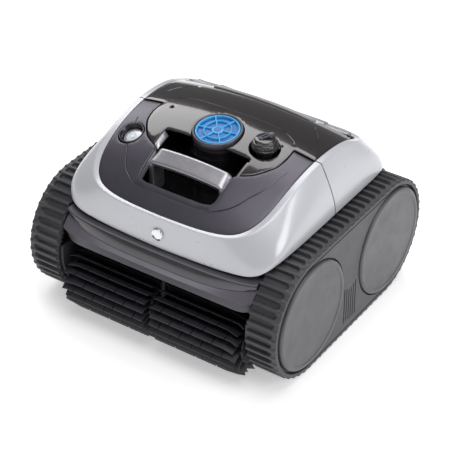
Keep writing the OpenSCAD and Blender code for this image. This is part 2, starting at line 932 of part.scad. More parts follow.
module pump_duct() color("#39383e") {
    difference() {
        union() {
            translate([0, pump_y, 114])
                cylinder(r = duct_r, h = 148);
            translate([0, pump_y, 112])
                cylinder(r = 36.4, h = 6);
        }
        translate([0, pump_y, 118])
            cylinder(r = duct_r - 3, h = 160);
        for (a = [0:45:315])
            translate([0, pump_y, 150])
                rotate([0, 0, a])
                    z_box(20, 50, -8, 8, -22, 26);
    }
}

module pump_impeller() color("#c8c6bb") {
    impeller_z = 214;
    translate([0, pump_y, 0]) {
        translate([0, 0, 190])
            cylinder(r = 3, h = 30);
        translate([0, 0, impeller_z])
            cylinder(r = 9, h = 18);
        for (i = [0:5])
            rotate([0, 0, i * 60])
                translate([6, 0, impeller_z + 9])
                    rotate([32, 0, 0])
                        translate([0, -1.2, -7])
                            cube([24, 2.4, 14]);
    }
}

module duct_seal() color("#1a1a1d") {
    translate([0, pump_y, 262])
        difference() {
            cylinder(r = duct_r - 0.4, h = 4);
            translate([0, 0, -1])
                cylinder(r = duct_r - 3.4, h = 6);
        }
}

// ---- filter ----------------------------------------------------------------------------------------

basket = [124, 18, 94, 46, 225];      // half width, front, rear, floor and rim heights
flange_t = 2.5;

module basket_box(inset, floor_z, top) {
    z_box(-basket[0] + inset, basket[0] - inset, basket[1] + inset, basket[2] - inset, floor_z, top);
}

module filter_basket() color("#b3b7bd") {
    difference() {
        union() {
            basket_box(0, basket[3], basket[4] + 1);
            z_box(-132, 132, basket[1] - 6, basket[2] + 4, basket[4], basket[4] + flange_t);
        }
        basket_box(2.4, basket[3] + 2.4, 300);
        for (side = [-1, 1])
            z_box(side * 55 - 44, side * 55 + 44, 24, 70, 40, 60);
        for (i = [-2:1])
            z_box(i * 58 + 5, i * 58 + 53, 0, 120, 62, 205);
        for (y = [24, 61])
            z_box(-140, 140, y, y + 31, 62, 205);
    }
}

module filter_mesh() color("#d9dbd2") {
    difference() {
        basket_box(2.5, 58, 212);
        basket_box(3.4, 50, 220);
    }
}

module inlet_flap(side) {
    difference() {
        union() {
            z_box(side * 55 - 37, side * 55 + 37, 28.5, 62, 63.6, 65.4);
            x_rod(side * 55 - 37, 63, 64.5, 2.8, 74);
        }
        x_rod(side * 55 - 40, 63, 64.5, 1.5 + run_gap, 80);
    }
}

module left_inlet_flap() color("#5a5860") inlet_flap(-1);

module right_inlet_flap() color("#5a5860") inlet_flap(1);

module lid_gasket() color("#17171a") {
    gasket_z = basket[4] + flange_t;
    difference() {
        z_box(-131.5, 131.5, basket[1] - 5.7, basket[2] + 3.7, gasket_z, gasket_z + 3.5);
        z_box(-127.5, 127.5, basket[1] - 1.7, basket[2] - 0.3, gasket_z - 1, gasket_z + 5);
    }
}

// ---- lid ---------------------------------------------------------------------------------------------

lid_rear = 103.5;
ring_depth = 6;       // of the outlet ring below the lid's surface
ring_rise = 3.2;      // and above it

module lid_outline() {
    difference() {
        union() {
            polygon(mirrored([[0, 0.5], [145.2, 0.5], [145.8, 30], [145.8, 60], [145.2, 84], [144, 96],
                [140, lid_rear], [0, lid_rear]]));
            tongue_outline(0);
            translate([-91, lid_rear - 1])
                square([182, 5]);
        }
        recess_outline();
        translate([-80, -140])
            square([160, 60.5]);
        translate([port[0], port[1] - 1])
            circle(cap_r + 2.9);
        translate([0, pump_y])
            circle(ring_out_r + 1.2);
        for (side = [-1, 1])
            translate([side * 93, -4.5])
                circle(2);
    }
}

module lid() color("#3a363b") {
    difference() {
        union() {
            intersection() {
                linear_extrude(300)
                    lid_outline();
                top_slab(0, panel_t);
            }
            intersection() {
                z_box(-138, 138, lid_rear - 2.4, lid_rear, 230, 300);
                top_slab(1, 12);
            }
        }
        x_rod(-100, hinge_y, hinge_z, hinge_cover_r, 200);
    }
    both_sides()
        z_box(76, 90, lid_rear - 0.5, lid_rear + 4.2, 243.6, 254.4);
}

// Barrel along the lid's rear edge that covers the hinge knuckles
module hinge_cover() color("#77757c") {
    difference() {
        x_rod(-91, hinge_y, hinge_z, hinge_cover_r, 182);
        for (x = [-49.5, 20.5])
            difference() {
                z_box(x, x + 29, 90, 140, 200, 260);
                intersection() {
                    difference() {
                        x_rod(x - 1, hinge_y, hinge_z, hinge_cover_r + 1, 31);
                        x_rod(x - 2, hinge_y, hinge_z, hinge_cover_r - 3, 33);
                    }
                    z_box(x - 1, x + 30, 90, 140, hinge_z, 260);
                }
            }
        x_rod(-100, hinge_y, hinge_z, 2.5 + run_gap, 200);
        both_sides()
            z_box(75.9, 90.1, 90, lid_rear + 4.21, 243.5, 260);
    }
}

module hinge_pin() color("#c4c6ca") {
    x_rod(-98, hinge_y, hinge_z, 2.5, 196);
}

// Frame of the outlet: centred on the lid's surface and tilted forward with it
module at_outlet() {
    translate([0, pump_y, top_z(0, pump_y)])
        rotate([7, 0, 0])
            children();
}

module grille_ring() color("#4b474e") {
    at_outlet()
        translate([0, 0, -ring_depth])
            difference() {
                cylinder(r = ring_out_r + 0.6, h = ring_depth + ring_rise);
                translate([0, 0, -1])
                    cylinder(r = grille_r + 0.4, h = 40);
            }
}

// Blue outlet grille: three rings and six spokes over slotted vanes
module outlet_grille() color("#0a78cf") {
    grille_h = ring_depth + ring_rise;
    at_outlet()
        translate([0, 0, -ring_depth + 0.5]) {
            for (r = [grille_r, 20, 7.5])
                difference() {
                    cylinder(r = r, h = grille_h);
                    translate([0, 0, -1])
                        cylinder(r = r - 1.6, h = 20);
                }
            for (i = [0:5])
                rotate([0, 0, i * 60 + 10])
                    translate([6.2, -0.8, 0])
                        cube([grille_r - 7, 1.6, grille_h]);
            difference() {
                cylinder(r = grille_r, h = 2.4);
                for (i = [0:11], r = [10.5, 23])
                    rotate([0, 0, i * 30 + 25])
                        translate([r, -1.6, -1])
                            cube([r > 15 ? 7 : 6, 3.2, 6]);
            }
        }
}

module case_screws() color("#a9abb0") {
    for (x = [-120, 120], y = [-75, 125])
        translate([x, y, 17.5]) {
            cylinder(r = 3.6, h = 1.5);
            cylinder(r = 2, h = 6.5);
        }
}

hull_tub();
bottom_plate();
suction_throats();
deck_frame();
front_shell();
rear_shell();
rear_deck();
front_cover();
handle_well();
handle_bar();
button_seat();
power_button();
charge_port();
port_cap();
badge();
front_bumper();
bumper_lens();
bumper_lip();
rear_bumper();
brush_bracket();
brush_end_plates();
left_roller_core();
right_roller_core();
left_brush_blades();
right_brush_blades();
left_side_frame();
right_side_frame();
left_belt();
right_belt();
wheel_axles();
front_left_wheel();
front_right_wheel();
rear_left_wheel();
rear_right_wheel();
front_left_disc();
front_right_disc();
rear_left_disc();
rear_right_disc();
left_drive_motor();
right_drive_motor();
left_drive_pinion();
right_drive_pinion();
battery_pack();
control_box();
wiring_loom();
pump_motor();
pump_duct();
pump_impeller();
duct_seal();
filter_basket();
filter_mesh();
left_inlet_flap();
right_inlet_flap();
lid_gasket();
hinge_pin();
lid();
hinge_cover();
grille_ring();
outlet_grille();
case_screws();
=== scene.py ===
# Looks of the tracked pool cleaner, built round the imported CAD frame.
# Shape tables are in millimetres in the frame's own axes; meshes are made in metres.
import json
import math
import bpy
import bmesh
import numpy as np
from mathutils import Matrix, Vector, geometry


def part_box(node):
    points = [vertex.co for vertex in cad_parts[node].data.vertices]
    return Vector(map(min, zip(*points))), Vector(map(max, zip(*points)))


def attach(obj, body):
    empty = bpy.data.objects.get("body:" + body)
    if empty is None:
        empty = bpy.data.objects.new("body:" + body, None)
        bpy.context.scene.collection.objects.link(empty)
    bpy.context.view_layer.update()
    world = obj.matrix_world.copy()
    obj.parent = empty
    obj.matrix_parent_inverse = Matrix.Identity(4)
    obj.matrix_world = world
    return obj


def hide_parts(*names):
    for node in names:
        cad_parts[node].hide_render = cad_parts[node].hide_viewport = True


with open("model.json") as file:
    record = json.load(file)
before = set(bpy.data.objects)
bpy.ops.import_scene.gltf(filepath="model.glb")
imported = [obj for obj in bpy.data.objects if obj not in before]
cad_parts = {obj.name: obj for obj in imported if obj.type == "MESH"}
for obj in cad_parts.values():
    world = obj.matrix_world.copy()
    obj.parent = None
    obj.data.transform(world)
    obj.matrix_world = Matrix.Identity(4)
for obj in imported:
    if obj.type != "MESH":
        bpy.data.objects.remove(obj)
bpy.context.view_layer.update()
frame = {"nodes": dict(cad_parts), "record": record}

MM = 0.001
SCENE = bpy.context.scene


# ---- places taken from the frame ----

def box_mm(node):
    lo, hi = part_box(node)
    return Vector(lo) / MM, Vector(hi) / MM


def centre_mm(node):
    lo, hi = box_mm(node)
    return (lo + hi) / 2


PORT = centre_mm("charge_port")
BELT_LO, BELT_HI = box_mm("right_belt")
DISC_LO, DISC_HI = box_mm("front_right_disc")
AXLE = centre_mm("front_right_wheel")
AXLE_Y = -AXLE.y
AXLE_Z = AXLE.z
HINGE = centre_mm("hinge_pin")
BRUSH = centre_mm("left_brush_blades")
CORE_LO, CORE_HI = box_mm("right_brush_blades")
PUMP = centre_mm("pump_duct")
CAP_LO = box_mm("port_cap")[0]
LIP_HI = box_mm("bumper_lip")[1]
BADGE = centre_mm("badge")


# ---- materials ----

class Nodes:
    """Small helper round one material's node tree."""

    def __init__(self, name):
        self.material = bpy.data.materials.new(name)
        self.material.use_nodes = True
        self.tree = self.material.node_tree
        self.shader = self.tree.nodes["Principled BSDF"]
        self.coords = self.tree.nodes.new("ShaderNodeTexCoord").outputs["Object"]

    def link(self, source, target):
        self.tree.links.new(source, target)

    def set(self, **values):
        for key, value in values.items():
            self.shader.inputs[key.replace("_", " ")].default_value = value

    def node(self, kind, **values):
        node = self.tree.nodes.new("ShaderNode" + kind)
        for key, value in values.items():
            node.inputs[key.replace("_", " ")].default_value = value
        return node

    def noise(self, scale, detail=4.0, roughness=0.55, stretch=None):
        node = self.node("TexNoise", Scale=scale, Detail=detail, Roughness=roughness, Distortion=0.0)
        source = self.coords
        if stretch:
            mapping = self.node("Mapping", Scale=stretch)
            self.link(self.coords, mapping.inputs["Vector"])
            source = mapping.outputs["Vector"]
        self.link(source, node.inputs["Vector"])
        return node.outputs["Fac"]

    def cells(self, scale):
        node = self.node("TexVoronoi", Scale=scale)
        node.feature = "F1"
        self.link(self.coords, node.inputs["Vector"])
        return node.outputs["Distance"]

    def paint(self, source, stops):
        """Base colour from a ramp of (place, colour) stops."""
        node = self.node("ValToRGB")
        elements = node.color_ramp.elements
        while len(elements) < len(stops):
            elements.new(0.5)
        for element, (place, colour) in zip(elements, stops):
            element.position = place
            element.color = (*colour, 1.0)
        self.link(source, node.inputs["Fac"])
        self.link(node.outputs["Color"], self.shader.inputs["Base Color"])

    def gloss(self, source, low, high):
        """Roughness between low and high."""
        node = self.node("MapRange", From_Min=0.3, From_Max=0.7, To_Min=low, To_Max=high)
        self.link(source, node.inputs["Value"])
        self.link(node.outputs["Result"], self.shader.inputs["Roughness"])

    def add(self, a, b, weight):
        node = self.node("Math")
        node.operation = "MULTIPLY_ADD"
        self.link(b, node.inputs[0])
        node.inputs[1].default_value = weight
        self.link(a, node.inputs[2])
        return node.outputs["Value"]

    def bump(self, height, strength):
        node = self.node("Bump", Strength=strength, Distance=0.0004)
        self.link(height, node.inputs["Height"])
        self.link(node.outputs["Normal"], self.shader.inputs["Normal"])


def shade(colour, factor):
    return tuple(min(c * factor, 1.0) for c in colour)


MAT = {}


def moulded(name, colour, rough, grain=900.0, bump=0.12, vary=0.07, metal=0.0, coat=0.0, coat_rough=0.08,
            spread=0.06, patch=14.0):
    """Moulded or painted plastic: slow colour drift, fine surface grain and rubbed patches."""
    n = Nodes(name)
    drift = n.noise(patch, 5.0)
    n.paint(drift, [(0.3, shade(colour, 1 - vary)), (0.55, colour), (0.75, shade(colour, 1 + vary))])
    rub = n.noise(patch * 2.3, 6.0, 0.7)
    n.gloss(rub, max(rough - spread, 0.02), rough + spread)
    fine = n.noise(grain, 2.0)
    n.bump(n.add(fine, rub, 0.15), bump)
    n.set(Metallic=metal, Coat_Weight=coat, Coat_Roughness=coat_rough)
    MAT[name] = n.material


def brushed(name, colour, rough, along=(1.0, 40.0, 40.0), metal=1.0, bump=0.05, vary=0.08):
    """Brushed or drawn metal: grain stretched along one axis."""
    n = Nodes(name)
    streaks = n.noise(60.0, 3.0, 0.6, stretch=along)
    n.paint(streaks, [(0.3, shade(colour, 1 - vary)), (0.7, shade(colour, 1 + vary))])
    n.gloss(streaks, rough * 0.8, rough * 1.25)
    n.bump(streaks, bump)
    n.set(Metallic=metal)
    MAT[name] = n.material


def rubber(name, colour, rough=0.62, dust=(0.16, 0.155, 0.16), amount=0.25):
    """Rubber with a pebbled skin and pale dust in patches."""
    n = Nodes(name)
    patches = n.noise(9.0, 6.0, 0.7)
    mixed = tuple(c + (d - c) * amount for c, d in zip(colour, dust))
    n.paint(patches, [(0.3, shade(colour, 0.88)), (0.52, colour), (0.78, mixed)])
    n.gloss(patches, rough - 0.08, rough + 0.1)
    n.bump(n.add(n.noise(1400.0, 2.0), n.cells(520.0), 0.4), 0.22)
    MAT[name] = n.material


THREADS = 900.0


def meshwork(name, colour, dark):
    """Woven filter cloth: two crossed sets of threads."""
    n = Nodes(name)
    waves = []
    for axis in ("X", "Z"):
        wave = n.node("TexWave", Scale=THREADS / 6, Distortion=0.4)
        wave.bands_direction = axis
        n.link(n.coords, wave.inputs["Vector"])
        waves.append(wave.outputs["Fac"])
    weave = n.add(waves[0], waves[1], 0.9)
    n.paint(weave, [(0.3, dark), (0.9, colour)])
    n.gloss(weave, 0.6, 0.85)
    n.bump(weave, 0.3)
    MAT[name] = n.material


def board_case(name, colour):
    n = Nodes(name)
    cells = n.cells(55.0)
    n.paint(cells, [(0.1, shade(colour, 0.7)), (0.6, colour)])
    n.gloss(n.noise(30.0), 0.45, 0.65)
    n.bump(n.noise(700.0), 0.15)
    MAT[name] = n.material


moulded("pearl_white", (0.60, 0.61, 0.645), 0.30, grain=1500, bump=0.03, vary=0.02, metal=0.12, coat=0.45,
        coat_rough=0.12, spread=0.04, patch=7)
moulded("graphite_satin", (0.085, 0.078, 0.100), 0.36, grain=1600, bump=0.05, vary=0.04, metal=0.55,
        coat=0.25, coat_rough=0.2, spread=0.04)
moulded("handle_grey", (0.42, 0.41, 0.44), 0.30, grain=1600, bump=0.04, vary=0.04, metal=0.75, coat=0.2,
        spread=0.05)
moulded("smoked_lid", (0.034, 0.029, 0.031), 0.16, grain=1500, bump=0.02, vary=0.08, metal=0.2, coat=1.0,
        coat_rough=0.05, spread=0.03)
moulded("hinge_grey", (0.36, 0.352, 0.375), 0.36, grain=1300, bump=0.07, metal=0.35)
moulded("well_black", (0.010, 0.010, 0.012), 0.22, bump=0.08, vary=0.2, coat=0.5)
moulded("bumper_grey", (0.105, 0.100, 0.115), 0.42, grain=1100, bump=0.10, metal=0.2)
moulded("lens_dark", (0.045, 0.043, 0.050), 0.20, grain=1500, bump=0.03, metal=0.2, coat=0.8,
        coat_rough=0.12)
moulded("lip_silver", (0.21, 0.20, 0.23), 0.34, grain=1500, bump=0.05, metal=0.6, spread=0.05)
moulded("hull_dark", (0.035, 0.034, 0.040), 0.55, grain=700, bump=0.2, vary=0.1)
moulded("frame_grey", (0.070, 0.068, 0.076), 0.50, bump=0.14, vary=0.06)
moulded("disc_grey", (0.084, 0.081, 0.089), 0.40, grain=1000, bump=0.08, vary=0.10, spread=0.09, patch=20)
moulded("drum_grey", (0.10, 0.098, 0.105), 0.5, grain=800, bump=0.15)
rubber("track_rubber", (0.052, 0.050, 0.057), 0.50)
rubber("brush_rubber", (0.026, 0.024, 0.032), 0.46, dust=(0.08, 0.078, 0.09), amount=0.3)
moulded("roller_black", (0.016, 0.016, 0.019), 0.5, grain=600, bump=0.2)
moulded("grille_blue", (0.0, 0.135, 0.44), 0.34, grain=1200, bump=0.06, vary=0.06)
moulded("cap_black", (0.018, 0.017, 0.020), 0.22, grain=1200, bump=0.04, vary=0.12, coat=0.9)
brushed("button_silver", (0.62, 0.63, 0.66), 0.32, along=(40.0, 40.0, 1.0), metal=0.7)
brushed("badge_chrome", (0.72, 0.73, 0.75), 0.14, along=(30.0, 2.0, 30.0), bump=0.02, vary=0.03)
brushed("steel", (0.50, 0.50, 0.52), 0.30)
brushed("motor_can", (0.36, 0.36, 0.38), 0.36)
moulded("gear_nylon", (0.66, 0.64, 0.56), 0.5, grain=500, bump=0.1)
moulded("battery_wrap", (0.03, 0.10, 0.055), 0.35, grain=300, bump=0.1, coat=0.3)
board_case("board_case", (0.03, 0.04, 0.055))
rubber("lead_black", (0.02, 0.02, 0.022), 0.5)
rubber("seal_rubber", (0.014, 0.014, 0.016), 0.7, amount=0.1)
moulded("basket_grey", (0.42, 0.44, 0.47), 0.45, grain=700, bump=0.12)
meshwork("mesh_cloth", (0.66, 0.67, 0.62), (0.22, 0.22, 0.20))
rubber("flap_grey", (0.10, 0.10, 0.11), 0.6)
moulded("grille_sky", (0.05, 0.41, 0.80), 0.30, grain=1200, bump=0.05, vary=0.05)
moulded("glyph_blue", (0.30, 0.50, 0.72), 0.35, bump=0.04)


def dress_cad_nodes():
    """Every carried-over CAD node gets its slot's procedural material."""
    for row in frame["record"]["subparts"]:
        materials = frame["nodes"][row["node"]].data.materials
        materials.clear()
        materials.append(MAT[row["material_slot"]])


# ---- mesh helpers ----

def linked(name, data):
    obj = bpy.data.objects.new(name, data)
    SCENE.collection.objects.link(obj)
    return obj


def add_mesh(name, points, faces, body, material, replaces=(), sharp=38.0):
    mesh = bpy.data.meshes.new(name)
    mesh.from_pydata([tuple(c * MM for c in p) for p in points], [], faces)
    bm = bmesh.new()
    bm.from_mesh(mesh)
    bmesh.ops.remove_doubles(bm, verts=bm.verts, dist=2e-6)
    bmesh.ops.dissolve_degenerate(bm, dist=1e-6, edges=bm.edges)
    bmesh.ops.recalc_face_normals(bm, faces=bm.faces)
    limit = math.radians(sharp)
    for face in bm.faces:
        face.smooth = True
    for edge in bm.edges:
        edge.smooth = edge.calc_face_angle(0.0) < limit
    bm.to_mesh(mesh)
    bm.free()
    obj = linked(name, mesh)
    mesh.materials.append(MAT[material])
    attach(obj, body)
    if replaces:
        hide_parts(*replaces)
    return obj


def round_edges(obj, width, segments=3, angle=34.0):
    modifier = obj.modifiers.new("edge_rounding", "BEVEL")
    modifier.width = width * MM
    modifier.segments = segments
    modifier.limit_method = "ANGLE"
    modifier.angle_limit = math.radians(angle)
    modifier.harden_normals = False
    return obj


def spokes(count):
    """Cosine and sine of evenly spaced directions round a circle."""
    return [(math.cos(2 * math.pi * k / count), math.sin(2 * math.pi * k / count)) for k in range(count)]


class Build:
    """Collects points and faces of one piece made of several shells."""

    def __init__(self):
        self.points = []
        self.faces = []

    def part(self, points, faces, place=None):
        base = len(self.points)
        if place is not None:
            points = [place @ Vector(p) for p in points]
        self.points += [tuple(p) for p in points]
        self.faces += [[base + i for i in face] for face in faces]

    def grid(self, rows, close_rows=False, close_cols=False, cap_ends=False, place=None):
        m = len(rows)
        n = len(rows[0])
        faces = []
        for j in range(m if close_rows else m - 1):
            for i in range(n if close_cols else n - 1):
                a = j * n + i
                b = j * n + (i + 1) % n
                c = ((j + 1) % m) * n + (i + 1) % n
                d = ((j + 1) % m) * n + i
                faces.append([a, b, c, d])
        if cap_ends:
            faces.append([i for i in range(n)][::-1])
            faces.append([(m - 1) * n + i for i in range(n)])
        self.part([p for row in rows for p in row], faces, place)

    def bar(self, rows, place=None):
        """Solid whose cross-sections are the rows."""
        self.grid(rows, close_cols=True, cap_ends=True, place=place)

    def lathe(self, profile, place, segments=72):
        self.grid([[(r * c, r * s, z) for c, s in spokes(segments)] for r, z in profile], close_cols=True,
                  place=place)

    def done(self, name, body, material, replaces=(), sharp=38.0):
        return add_mesh(name, self.points, self.faces, body, material, replaces, sharp)


def spin(degrees, axis):
    return Matrix.Rotation(math.radians(degrees), 4, axis)


def lathed(name, body, material, profile, place, segments, replaces=(), sharp=38.0):
    b = Build()
    b.lathe(profile, place, segments)
    b.done(name, body, material, replaces, sharp)


def place_at(x, y, z, rx=0.0, ry=0.0):
    return Matrix.Translation((x, y, z)) @ spin(ry, "Y") @ spin(rx, "X")


def catmull(p0, p1, p2, p3, t):
    return 0.5 * (2 * p1 + (p2 - p0) * t + (2 * p0 - 5 * p1 + 4 * p2 - p3) * t * t
                  + (3 * p1 - p0 - 3 * p2 + p3) * t ** 3)


def spline(points, step=2.5):
    """Catmull-Rom curve through the points, sampled about every step."""
    pts = [Vector(p) for p in points]
    pts = [pts[0] * 2 - pts[1]] + pts + [pts[-1] * 2 - pts[-2]]
    out = []
    for k in range(1, len(pts) - 2):
        p0, p1, p2, p3 = pts[k - 1:k + 3]
        count = max(int(round((p2 - p1).length / step)), 1)
        for i in range(count):
            out.append(catmull(p0, p1, p2, p3, i / count))
    out.append(pts[-2])
    return out


def rounded(corners, step=2.5):
    """Closed outline from (x, y, radius) corners, sampled about every step."""
    n = len(corners)
    out = []
    for k in range(n):
        p = Vector(corners[k][:2])
        r = corners[k][2]
        a = (Vector(corners[k - 1][:2]) - p).normalized()
        b = (Vector(corners[(k + 1) % n][:2]) - p).normalized()
        if r <= 0:
            out.append(p)
            continue
        half = a.angle(b) / 2
        reach = r / math.tan(half)
        start = p + a * reach
        stop = p + b * reach
        middle = p + (a + b).normalized() * (r / math.sin(half))
        u = start - middle
        v = stop - middle
        arc = u.angle(v)
        count = max(int(arc * r / step), 3)
        for i in range(count + 1):
            w = (u * math.sin(arc * (1 - i / count)) + v * math.sin(arc * i / count)) / math.sin(arc)
            out.append(middle + w)
    return densify(out, step)


def densify(loop, step=2.5, closed=True):
    out = []
    n = len(loop)
    for k in range(n if closed else n - 1):
        a = Vector(loop[k][:2])
        b = Vector(loop[(k + 1) % n][:2])
        gap = (b - a).length
        if gap < 1e-4:
            continue
        count = max(int(math.ceil(gap / step)), 1)
        for i in range(count):
            out.append(a + (b - a) * (i / count))
    if not closed:
        out.append(Vector(loop[-1][:2]))
    return out


def circle(cx, cy, r, count=48):
    return [Vector((cx + r * c, cy + r * s)) for c, s in spokes(count)]


def signed_area(loop):
    return sum(a.x * b.y - b.x * a.y for a, b in zip(loop, loop[1:] + loop[:1])) / 2


def vectors(*pairs):
    return [Vector(p) for p in pairs]


def left_half(half):
    """The other half of a symmetric outline, run back towards the centre line."""
    return [Vector((-p.x, p.y)) for p in reversed(half) if p.x > 1e-6]


def turned(loop, anticlockwise):
    return loop if (signed_area(loop) > 0) == anticlockwise else loop[::-1]


def inset(loop, distance):
    """Moves a closed loop to its left by distance."""
    out = []
    n = len(loop)
    for k in range(n):
        a = (loop[k] - loop[k - 1]).normalized()
        b = (loop[(k + 1) % n] - loop[k]).normalized()
        na = Vector((-a.y, a.x))
        nb = Vector((-b.y, b.x))
        mid = na + nb
        mid = mid.normalized() if mid.length > 1e-3 else na
        out.append(loop[k] + mid * (distance / max(mid.dot(na), 0.4)))
    return out


def inside(points, loop):
    hit = np.zeros(len(points), bool)
    xs = np.array([p.x for p in loop])
    ys = np.array([p.y for p in loop])
    xe = np.roll(xs, -1)
    ye = np.roll(ys, -1)
    for x0, y0, x1, y1 in zip(xs, ys, xe, ye):
        if y0 == y1:
            continue
        crosses = (points[:, 1] >= min(y0, y1)) & (points[:, 1] < max(y0, y1))
        at = x0 + (points[:, 1] - y0) * (x1 - x0) / (y1 - y0)
        hit ^= crosses & (points[:, 0] < at)
    return hit


def on_plate(points, borders):
    """Which points lie inside the first border and outside the others."""
    hit = inside(points, borders[0])
    for border in borders[1:]:
        hit &= ~inside(points, border)
    return hit


CROWN_Z = 280.6
CROWN_TILT = 0.0589
CROWN_ARC_Y = 0.002037
CROWN_ARC_X = 0.000623
TAIL_FROM = 60
TAIL_DROP = 0.00216


def top_z(x, y):
    """Crowned top surface of the whole cleaner."""
    tail = max(y - TAIL_FROM, 0)
    return CROWN_Z + CROWN_TILT * y - CROWN_ARC_Y * y * y - CROWN_ARC_X * x * x - TAIL_DROP * tail ** 2


CLEARANCE = 0.45  # least distance of an inner mesh point from an outline, as a share of the spacing
GROOVE_PROFILE = ((-0.5, 0.0), (-0.3, 0.75), (0.0, 1.0), (0.3, 0.75), (0.5, 0.0))


def panel(outer, holes=(), grooves=(), thickness=3.4, edge=0.9, spacing=5.0, lift=0.0):
    """Closed plate on the top surface: rounded edges along its outline and holes, and sunk grooves.
    grooves are (points, width, depth)."""
    loops = [turned(outer, True)] + [turned(h, False) for h in holes]
    flat = []
    depth = []
    edges = []
    ring_starts = []
    for loop in loops:
        ring = inset(loop, edge)
        start = len(flat)
        ring_starts.append(start)
        flat += ring
        depth += [0.0] * len(ring)
        edges += [(start + i, start + (i + 1) % len(ring)) for i in range(len(ring))]
    for line, width, sink in grooves:
        line = densify(line, 2.0, closed=False)
        sides = []
        for k in range(len(line)):
            t = (line[min(k + 1, len(line) - 1)] - line[max(k - 1, 0)]).normalized()
            sides.append(Vector((-t.y, t.x)))
        for share, part in GROOVE_PROFILE:
            start = len(flat)
            for k, (p, s) in enumerate(zip(line, sides)):
                fade = min(1.0, k / 4, (len(line) - 1 - k) / 4)
                flat.append(p + s * (share * width * (0.3 + 0.7 * fade)))
                depth.append(part * sink * fade)
            edges += [(start + i, start + i + 1) for i in range(len(line) - 1)]
    fixed = np.array([(p.x, p.y) for p in flat])
    lo = fixed.min(0)
    hi = fixed.max(0)
    grid = np.array([(x, y) for x in np.arange(lo[0], hi[0], spacing) for y in np.arange(lo[1], hi[1],
                                                                                         spacing)])
    borders = [flat[start:start + len(loop)] for start, loop in zip(ring_starts, loops)]
    grid = grid[on_plate(grid, borders)]
    near = np.zeros(0)
    if len(grid):
        near = np.array([np.min(np.sum((fixed - g) ** 2, axis=1)) for g in grid])
    grid = grid[near > (spacing * CLEARANCE) ** 2]
    flat += [Vector(g) for g in grid]
    depth += [0.0] * len(grid)
    verts, _, tris, origin, _, _ = geometry.delaunay_2d_cdt(flat, edges, [], 0, 1e-5)
    middles = np.array([sum((verts[i] for i in t), Vector((0, 0))) / 3 for t in tris])
    tris = [t for t, good in zip(tris, on_plate(middles, borders)) if good]
    place = {}
    sunk = []
    for k, ids in enumerate(origin):
        sunk.append(depth[ids[0]] if ids else 0.0)
        for i in ids:
            place[i] = k
    n = len(verts)
    points = [(v.x, v.y, top_z(v.x, v.y) + lift - d) for v, d in zip(verts, sunk)]
    points += [(v.x, v.y, top_z(v.x, v.y) + lift - thickness) for v in verts]
    faces = [list(t) for t in tris]
    faces += [[n + i for i in reversed(t)] for t in tris]
    steps = 3
    for start, loop in zip(ring_starts, loops):
        top = [place[start + i] for i in range(len(loop))]
        low = [n + i for i in top]
        rings = [top]
        for j in range(1, steps + 1):
            a = math.pi / 2 * (1 - j / steps)
            moved = inset(loop, edge * (1 - math.cos(a)))
            base = len(points)
            points += [(p.x, p.y, top_z(p.x, p.y) + lift - edge * (1 - math.sin(a))) for p in moved]
            rings.append(list(range(base, base + len(loop))))
        base = len(points)
        points += [(p.x, p.y, top_z(p.x, p.y) + lift - thickness) for p in loop]
        rings.append(list(range(base, base + len(loop))))
        rings.append(low)
        for a, b in zip(rings, rings[1:]):
            for i in range(len(loop)):
                j = (i + 1) % len(loop)
                faces.append([a[i], b[i], b[j], a[j]])
    used = sorted({i for f in faces for i in f})
    index = {v: k for k, v in enumerate(used)}
    return [points[i] for i in used], [[index[i] for i in f] for f in faces]


# ---- outlines on the top surface ----

NOSE_EDGE = [(0, -166), (33, -165), (64, -162.5), (92, -157.5), (112, -150), (126, -138), (135, -122),
             (140, -104), (143, -78), (144.6, -48), (145.6, -20), (146, -1)]
NOSE_HEM = [(0, -172, 164), (38, -171.4, 164.6), (76, -170.4, 165.4), (110, -168.8, 167),
            (138, -166, 169.5), (156, -160.5, 174), (168, -151, 181.5), (175, -139, 188),
            (179, -120, 191.5), (180.6, -84, 192), (181, -40, 192), (181, -1, 192)]
TAIL_EDGE = [(146, 1), (146.6, 30), (146.6, 60), (146.2, 84), (145.5, 99), (143.5, 110),
             (138, 119), (128, 125), (110, 127.5), (60, 127.5, 5), (0, 127.5, 7)]
TAIL_HEM = [(181, 1, 192), (181, 40, 192), (181, 84, 192), (180, 116, 191), (176, 138, 188),
            (168, 152, 183), (156, 162, 175), (140, 169, 168), (118, 174, 165), (70, 177.5, 164),
            (0, 178, 164)]
TONGUE = [(111, 1), (112, -12), (112, -26), (108.5, -42), (100, -56), (90, -68), (79, -75.5)]
OUTER_GROOVE = [(127, -41), (123, -55), (118.5, -73), (112, -88), (104, -100.5), (97, -113), (88, -124),
                (80, -130), (64.5, -139), (50, -142), (35, -144), (0, -145)]
LID_OUTER_GROOVE = [(129, 27), (119, 51), (99, 73.5)]
LID_OVAL = [(106, 8), (98, 17.5), (79, 26), (53, 28), (0, 27)]
BUTTON = (-117.0, -71.5)
LID_REAR = 103.5
OUTLINE_STEP = 2.6


def nose_half():
    return spline([(x, y) for x, y in NOSE_EDGE], 3.0)


def front_cover_loop():
    """Outline of the graphite cover in front of the seam, with the recess and the tongue cut out."""
    gap = 0.55
    nose = [Vector((p.x - (gap if p.x > 1 else 0), p.y + gap)) for p in nose_half() if p.y < -3]
    seam = vectors((145.3, -3.2), (113.0, -3.2))
    tongue = [p for p in spline([(x + 1.3, y - 1.0) for x, y in TONGUE], 3.0) if p.y < -3.5]
    recess = vectors((71.5, -80.6), (66.8, -83.4), (65.2, -88), (64.2, -110), (63.2, -124), (61.4, -128.6),
                     (57.0, -131.4), (46.0, -133.6), (24, -134.6), (0, -135))
    half = nose + seam + tongue + recess
    return densify(half + left_half(half), OUTLINE_STEP)


